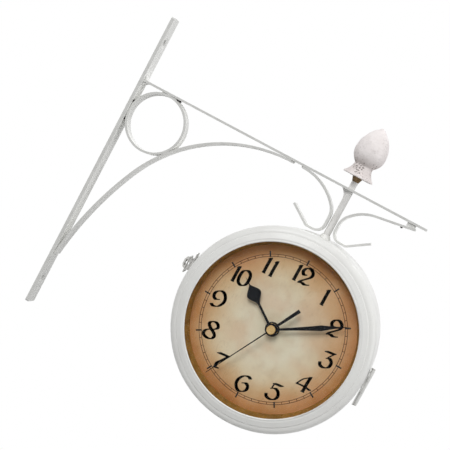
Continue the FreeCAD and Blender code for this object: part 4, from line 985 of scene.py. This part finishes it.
@dataclass
class Finial:
    """The cast bud, with the lumps and pits that its wash doesn't hide."""

    grid: float = 0.55
    lump: float = 0.22
    pit: float = 0.34
    pit_zone: tuple[float, float] = (0.1005, 0.0075)

    def build(self) -> None:
        """Puts a lumpy copy in the place of the smooth casting."""
        source = frame["nodes"]["finial"]
        copy = bpy.data.objects.new("finial_copy", source.data.copy())
        copy.matrix_world = source.matrix_world
        bpy.context.scene.collection.objects.link(copy)
        cells = copy.modifiers.new("cells", "REMESH")
        cells.mode, cells.voxel_size = "VOXEL", self.grid * MM
        bpy.context.view_layer.update()
        shaped = copy.evaluated_get(bpy.context.evaluated_depsgraph_get())
        maker = Maker()
        maker.mesh.from_mesh(shaped.to_mesh())
        maker.mesh.transform(source.matrix_world)
        shaped.to_mesh_clear()
        bpy.data.objects.remove(copy)
        bmesh.ops.smooth_vert(maker.mesh, verts=maker.mesh.verts, factor=0.5, use_axis_x=True, use_axis_y=True,
                              use_axis_z=True)
        maker.mesh.normal_update()
        moves = [(vert, vert.normal * self._depth(vert.co)) for vert in maker.mesh.verts]
        for vert, move in moves:
            vert.co += move
        bud = maker.piece("finial_casting", WASH, "clock_head", smooth=True)
        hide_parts("finial")

    def _depth(self, place: Vector) -> float:
        """How far the casting's skin lies from the smooth form there.

        Args:
            place: A point of the smooth form.

        Returns:
            Metres outwards, mostly below zero.
        """
        soft = noise.noise(place * 190.0) * self.lump
        fine = noise.noise(place * 620.0) * self.lump * 0.4
        middle, reach = self.pit_zone
        near = max(0.0, 1.0 - abs(place.z - middle) / reach)
        hole = max(0.0, noise.noise(place * 520.0 + Vector((7.0, 3.0, 1.0))) - 0.12) * self.pit * 3.2 * near
        return (soft + fine - hole - self.lump * 0.6) * MM


@dataclass
class WallBracket:
    """The strip work's welds: painted shade, as dark pieces in the ends of the wedges between the strips, on both
    edges.
    """

    strip_width: float = 12.0
    wedge_r: float = 0.95
    wedge_deep: float = 2.2
    wedge_in: float = 1.4
    weld_half: float = 8.6

    def build(self) -> None:
        """Makes dark pieces of painted shade in the wedges beside the welds."""
        dark = Maker()
        for x, z, tall in self._wedges():
            turn = Matrix.Rotation(math.radians(90), 4, "X")
            stretch = Matrix.Diagonal(Vector((1.0, 1.0, tall, 1.0)))
            for side in (-1, 1):
                y = side * (self.strip_width / 2 - self.wedge_in)
                place = Matrix.Translation(Vector((x, y, z)) * MM) @ stretch @ turn
                bmesh.ops.create_cone(dark.mesh, cap_ends=True, segments=16, radius1=self.wedge_r * MM,
                                      radius2=self.wedge_r * MM, depth=self.wedge_deep * MM, matrix=place)
        # dark cylinders of painted shade where the wedges between the strips lie in shade
        dark.piece("painted_wedge_shadows", WEDGE_SHADE, "bracket")

    def _wedges(self) -> list[tuple[float, float, float]]:
        """X, z in mm and tallness of each piece of painted shade at a wedge's end."""
        hoop_low, hoop_high = (Vector(corner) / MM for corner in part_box("ring"))
        middle = (hoop_low + hoop_high) / 2
        radius = (hoop_high.x - hoop_low.x) / 2
        bar_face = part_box("wall_bar")[1][0] / MM
        arm_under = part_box("arm_bar")[0][2] / MM
        gap = radius - math.sqrt(radius**2 - self.weld_half**2)
        spots = [(bar_face + gap / 2, middle.z + side * self.weld_half, 1.5) for side in (-1, 1)]
        spots.append((middle.x + self.weld_half, middle.z + radius - gap / 2, 0.8))
        spots.append((middle.x + 19.5, middle.z - 22.0, 0.9))
        spots.append((bar_face + 2.2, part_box("brace")[0][2] / MM + 9.0, 1.3))
        lead_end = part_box("outer_scroll")[1][0] / MM
        spots.append((lead_end - 12.0, arm_under - 1.6, 0.9))
        return spots


@dataclass
class Studio:
    """Floor, light and backdrop."""

    floor_drop: float = 0.55
    floor_radius: float = 0.42
    sky: tuple[float, float] = (0.10, 0.60)
    bright_side: Vector = field(default_factory=lambda: Vector((0.1, 0.0, 0.99)))

    def build(self) -> None:
        """Sets the world, the lamps and the floor."""
        self._world()
        self._lamp("key", Vector((2.0, -0.3, 0.5)), 1.2, 11.0)
        self._lamp("front", Vector((-0.5, -1.9, 1.5)), 1.2, 31.0)
        self._lamp("back", Vector((0.2, 1.6, 1.6)), 1.4, 8.0)
        self._floor()

    def _world(self) -> None:
        """White to the eye, in mirrors and through glass, softer as a light."""
        scene = bpy.context.scene
        scene.world = bpy.data.worlds.new("studio")
        scene.world.use_nodes = True
        graph = ShaderGraph(scene.world.node_tree)
        scene.world.node_tree.nodes.clear()
        path = graph.add("ShaderNodeLightPath")
        seen = path.outputs["Is Camera Ray"]
        for kind in ("Is Glossy Ray", "Is Transmission Ray"):
            seen = graph.sum(seen, path.outputs[kind], "MAXIMUM")
        heading = graph.add("ShaderNodeVectorMath", {0: graph.add("ShaderNodeTexCoord").outputs["Generated"],
                                                     1: self.bright_side}, operation="DOT_PRODUCT")
        soft = graph.ramp(heading.outputs["Value"], -1.0, 1.0, *self.sky)
        light = graph.sum(graph.sum(1.0, seen, "SUBTRACT"), soft, "MULTIPLY")
        light = graph.sum(light, seen)
        sky = graph.add("ShaderNodeBackground", {"Color": linear((255, 255, 255)), "Strength": light})
        graph.add("ShaderNodeOutputWorld", {"Surface": sky.outputs[0]})

    def _lamp(self, name: str, place: Vector, size: float, power: float) -> None:
        """A square soft lamp that looks at the clock.

        Args:
            name: Its name.
            place: Where it stands.
            size: Its side in metres.
            power: Its power in watts.
        """
        data = bpy.data.lights.new(name, "AREA")
        data.energy, data.size = power, size
        lamp = bpy.data.objects.new(name, data)
        lamp.location = place
        lamp.rotation_euler = (HAND_AXIS - place).to_track_quat("-Z", "Y").to_euler()
        bpy.context.scene.collection.objects.link(lamp)

    def _floor(self) -> None:
        """A pale round floor below the clock."""
        mesh = bmesh.new()
        place = Matrix.Translation(Vector((HAND_AXIS.x, 0.0, CAD_BOX[0][2] - self.floor_drop)))
        bmesh.ops.create_circle(mesh, cap_ends=True, segments=128, radius=self.floor_radius, matrix=place)
        data = bpy.data.meshes.new("floor")
        mesh.to_mesh(data)
        mesh.free()
        floor = bpy.data.objects.new("floor", data)
        bpy.context.scene.collection.objects.link(floor)
        data.materials.append(BACKDROP.material())


@dataclass
class Eye:
    """The photograph's viewpoint."""

    place: Vector = field(default_factory=lambda: Vector((0.3059, -0.9257, 0.0773)))
    target: Vector = field(default_factory=lambda: Vector((0.1303, 0.0, 0.0035)))
    roll: float = math.radians(28.06)
    lens: float = 85.0

    def build(self) -> None:
        """Makes the camera, looks at the target and rolls it."""
        data = bpy.data.cameras.new("camera")
        data.lens, data.sensor_width = self.lens, 36.0
        data.clip_start, data.clip_end = 0.01, 50.0
        camera = bpy.data.objects.new("camera", data)
        ahead = (self.target - self.place).normalized()
        level = ahead.cross(Vector((0, 0, 1))).normalized()
        above = level.cross(ahead)
        right = math.cos(self.roll) * level + math.sin(self.roll) * above
        up = math.cos(self.roll) * above - math.sin(self.roll) * level
        turn = Matrix((right, up, -ahead)).transposed().to_4x4()
        camera.matrix_world = Matrix.Translation(self.place) @ turn
        bpy.context.scene.collection.objects.link(camera)
        bpy.context.scene.camera = camera


def main() -> None:
    """Builds the scene."""
    logging.basicConfig(level=logging.INFO, format="%(name)s: %(message)s")
    CadFinishes().dress()
    for side in Side:
        DialFace(side).build()
    Finial().build()
    WallBracket().build()
    Studio().build()
    Eye().build()
    bpy.context.scene.view_settings.view_transform = "Standard"


if __name__ == "__main__":
    main()
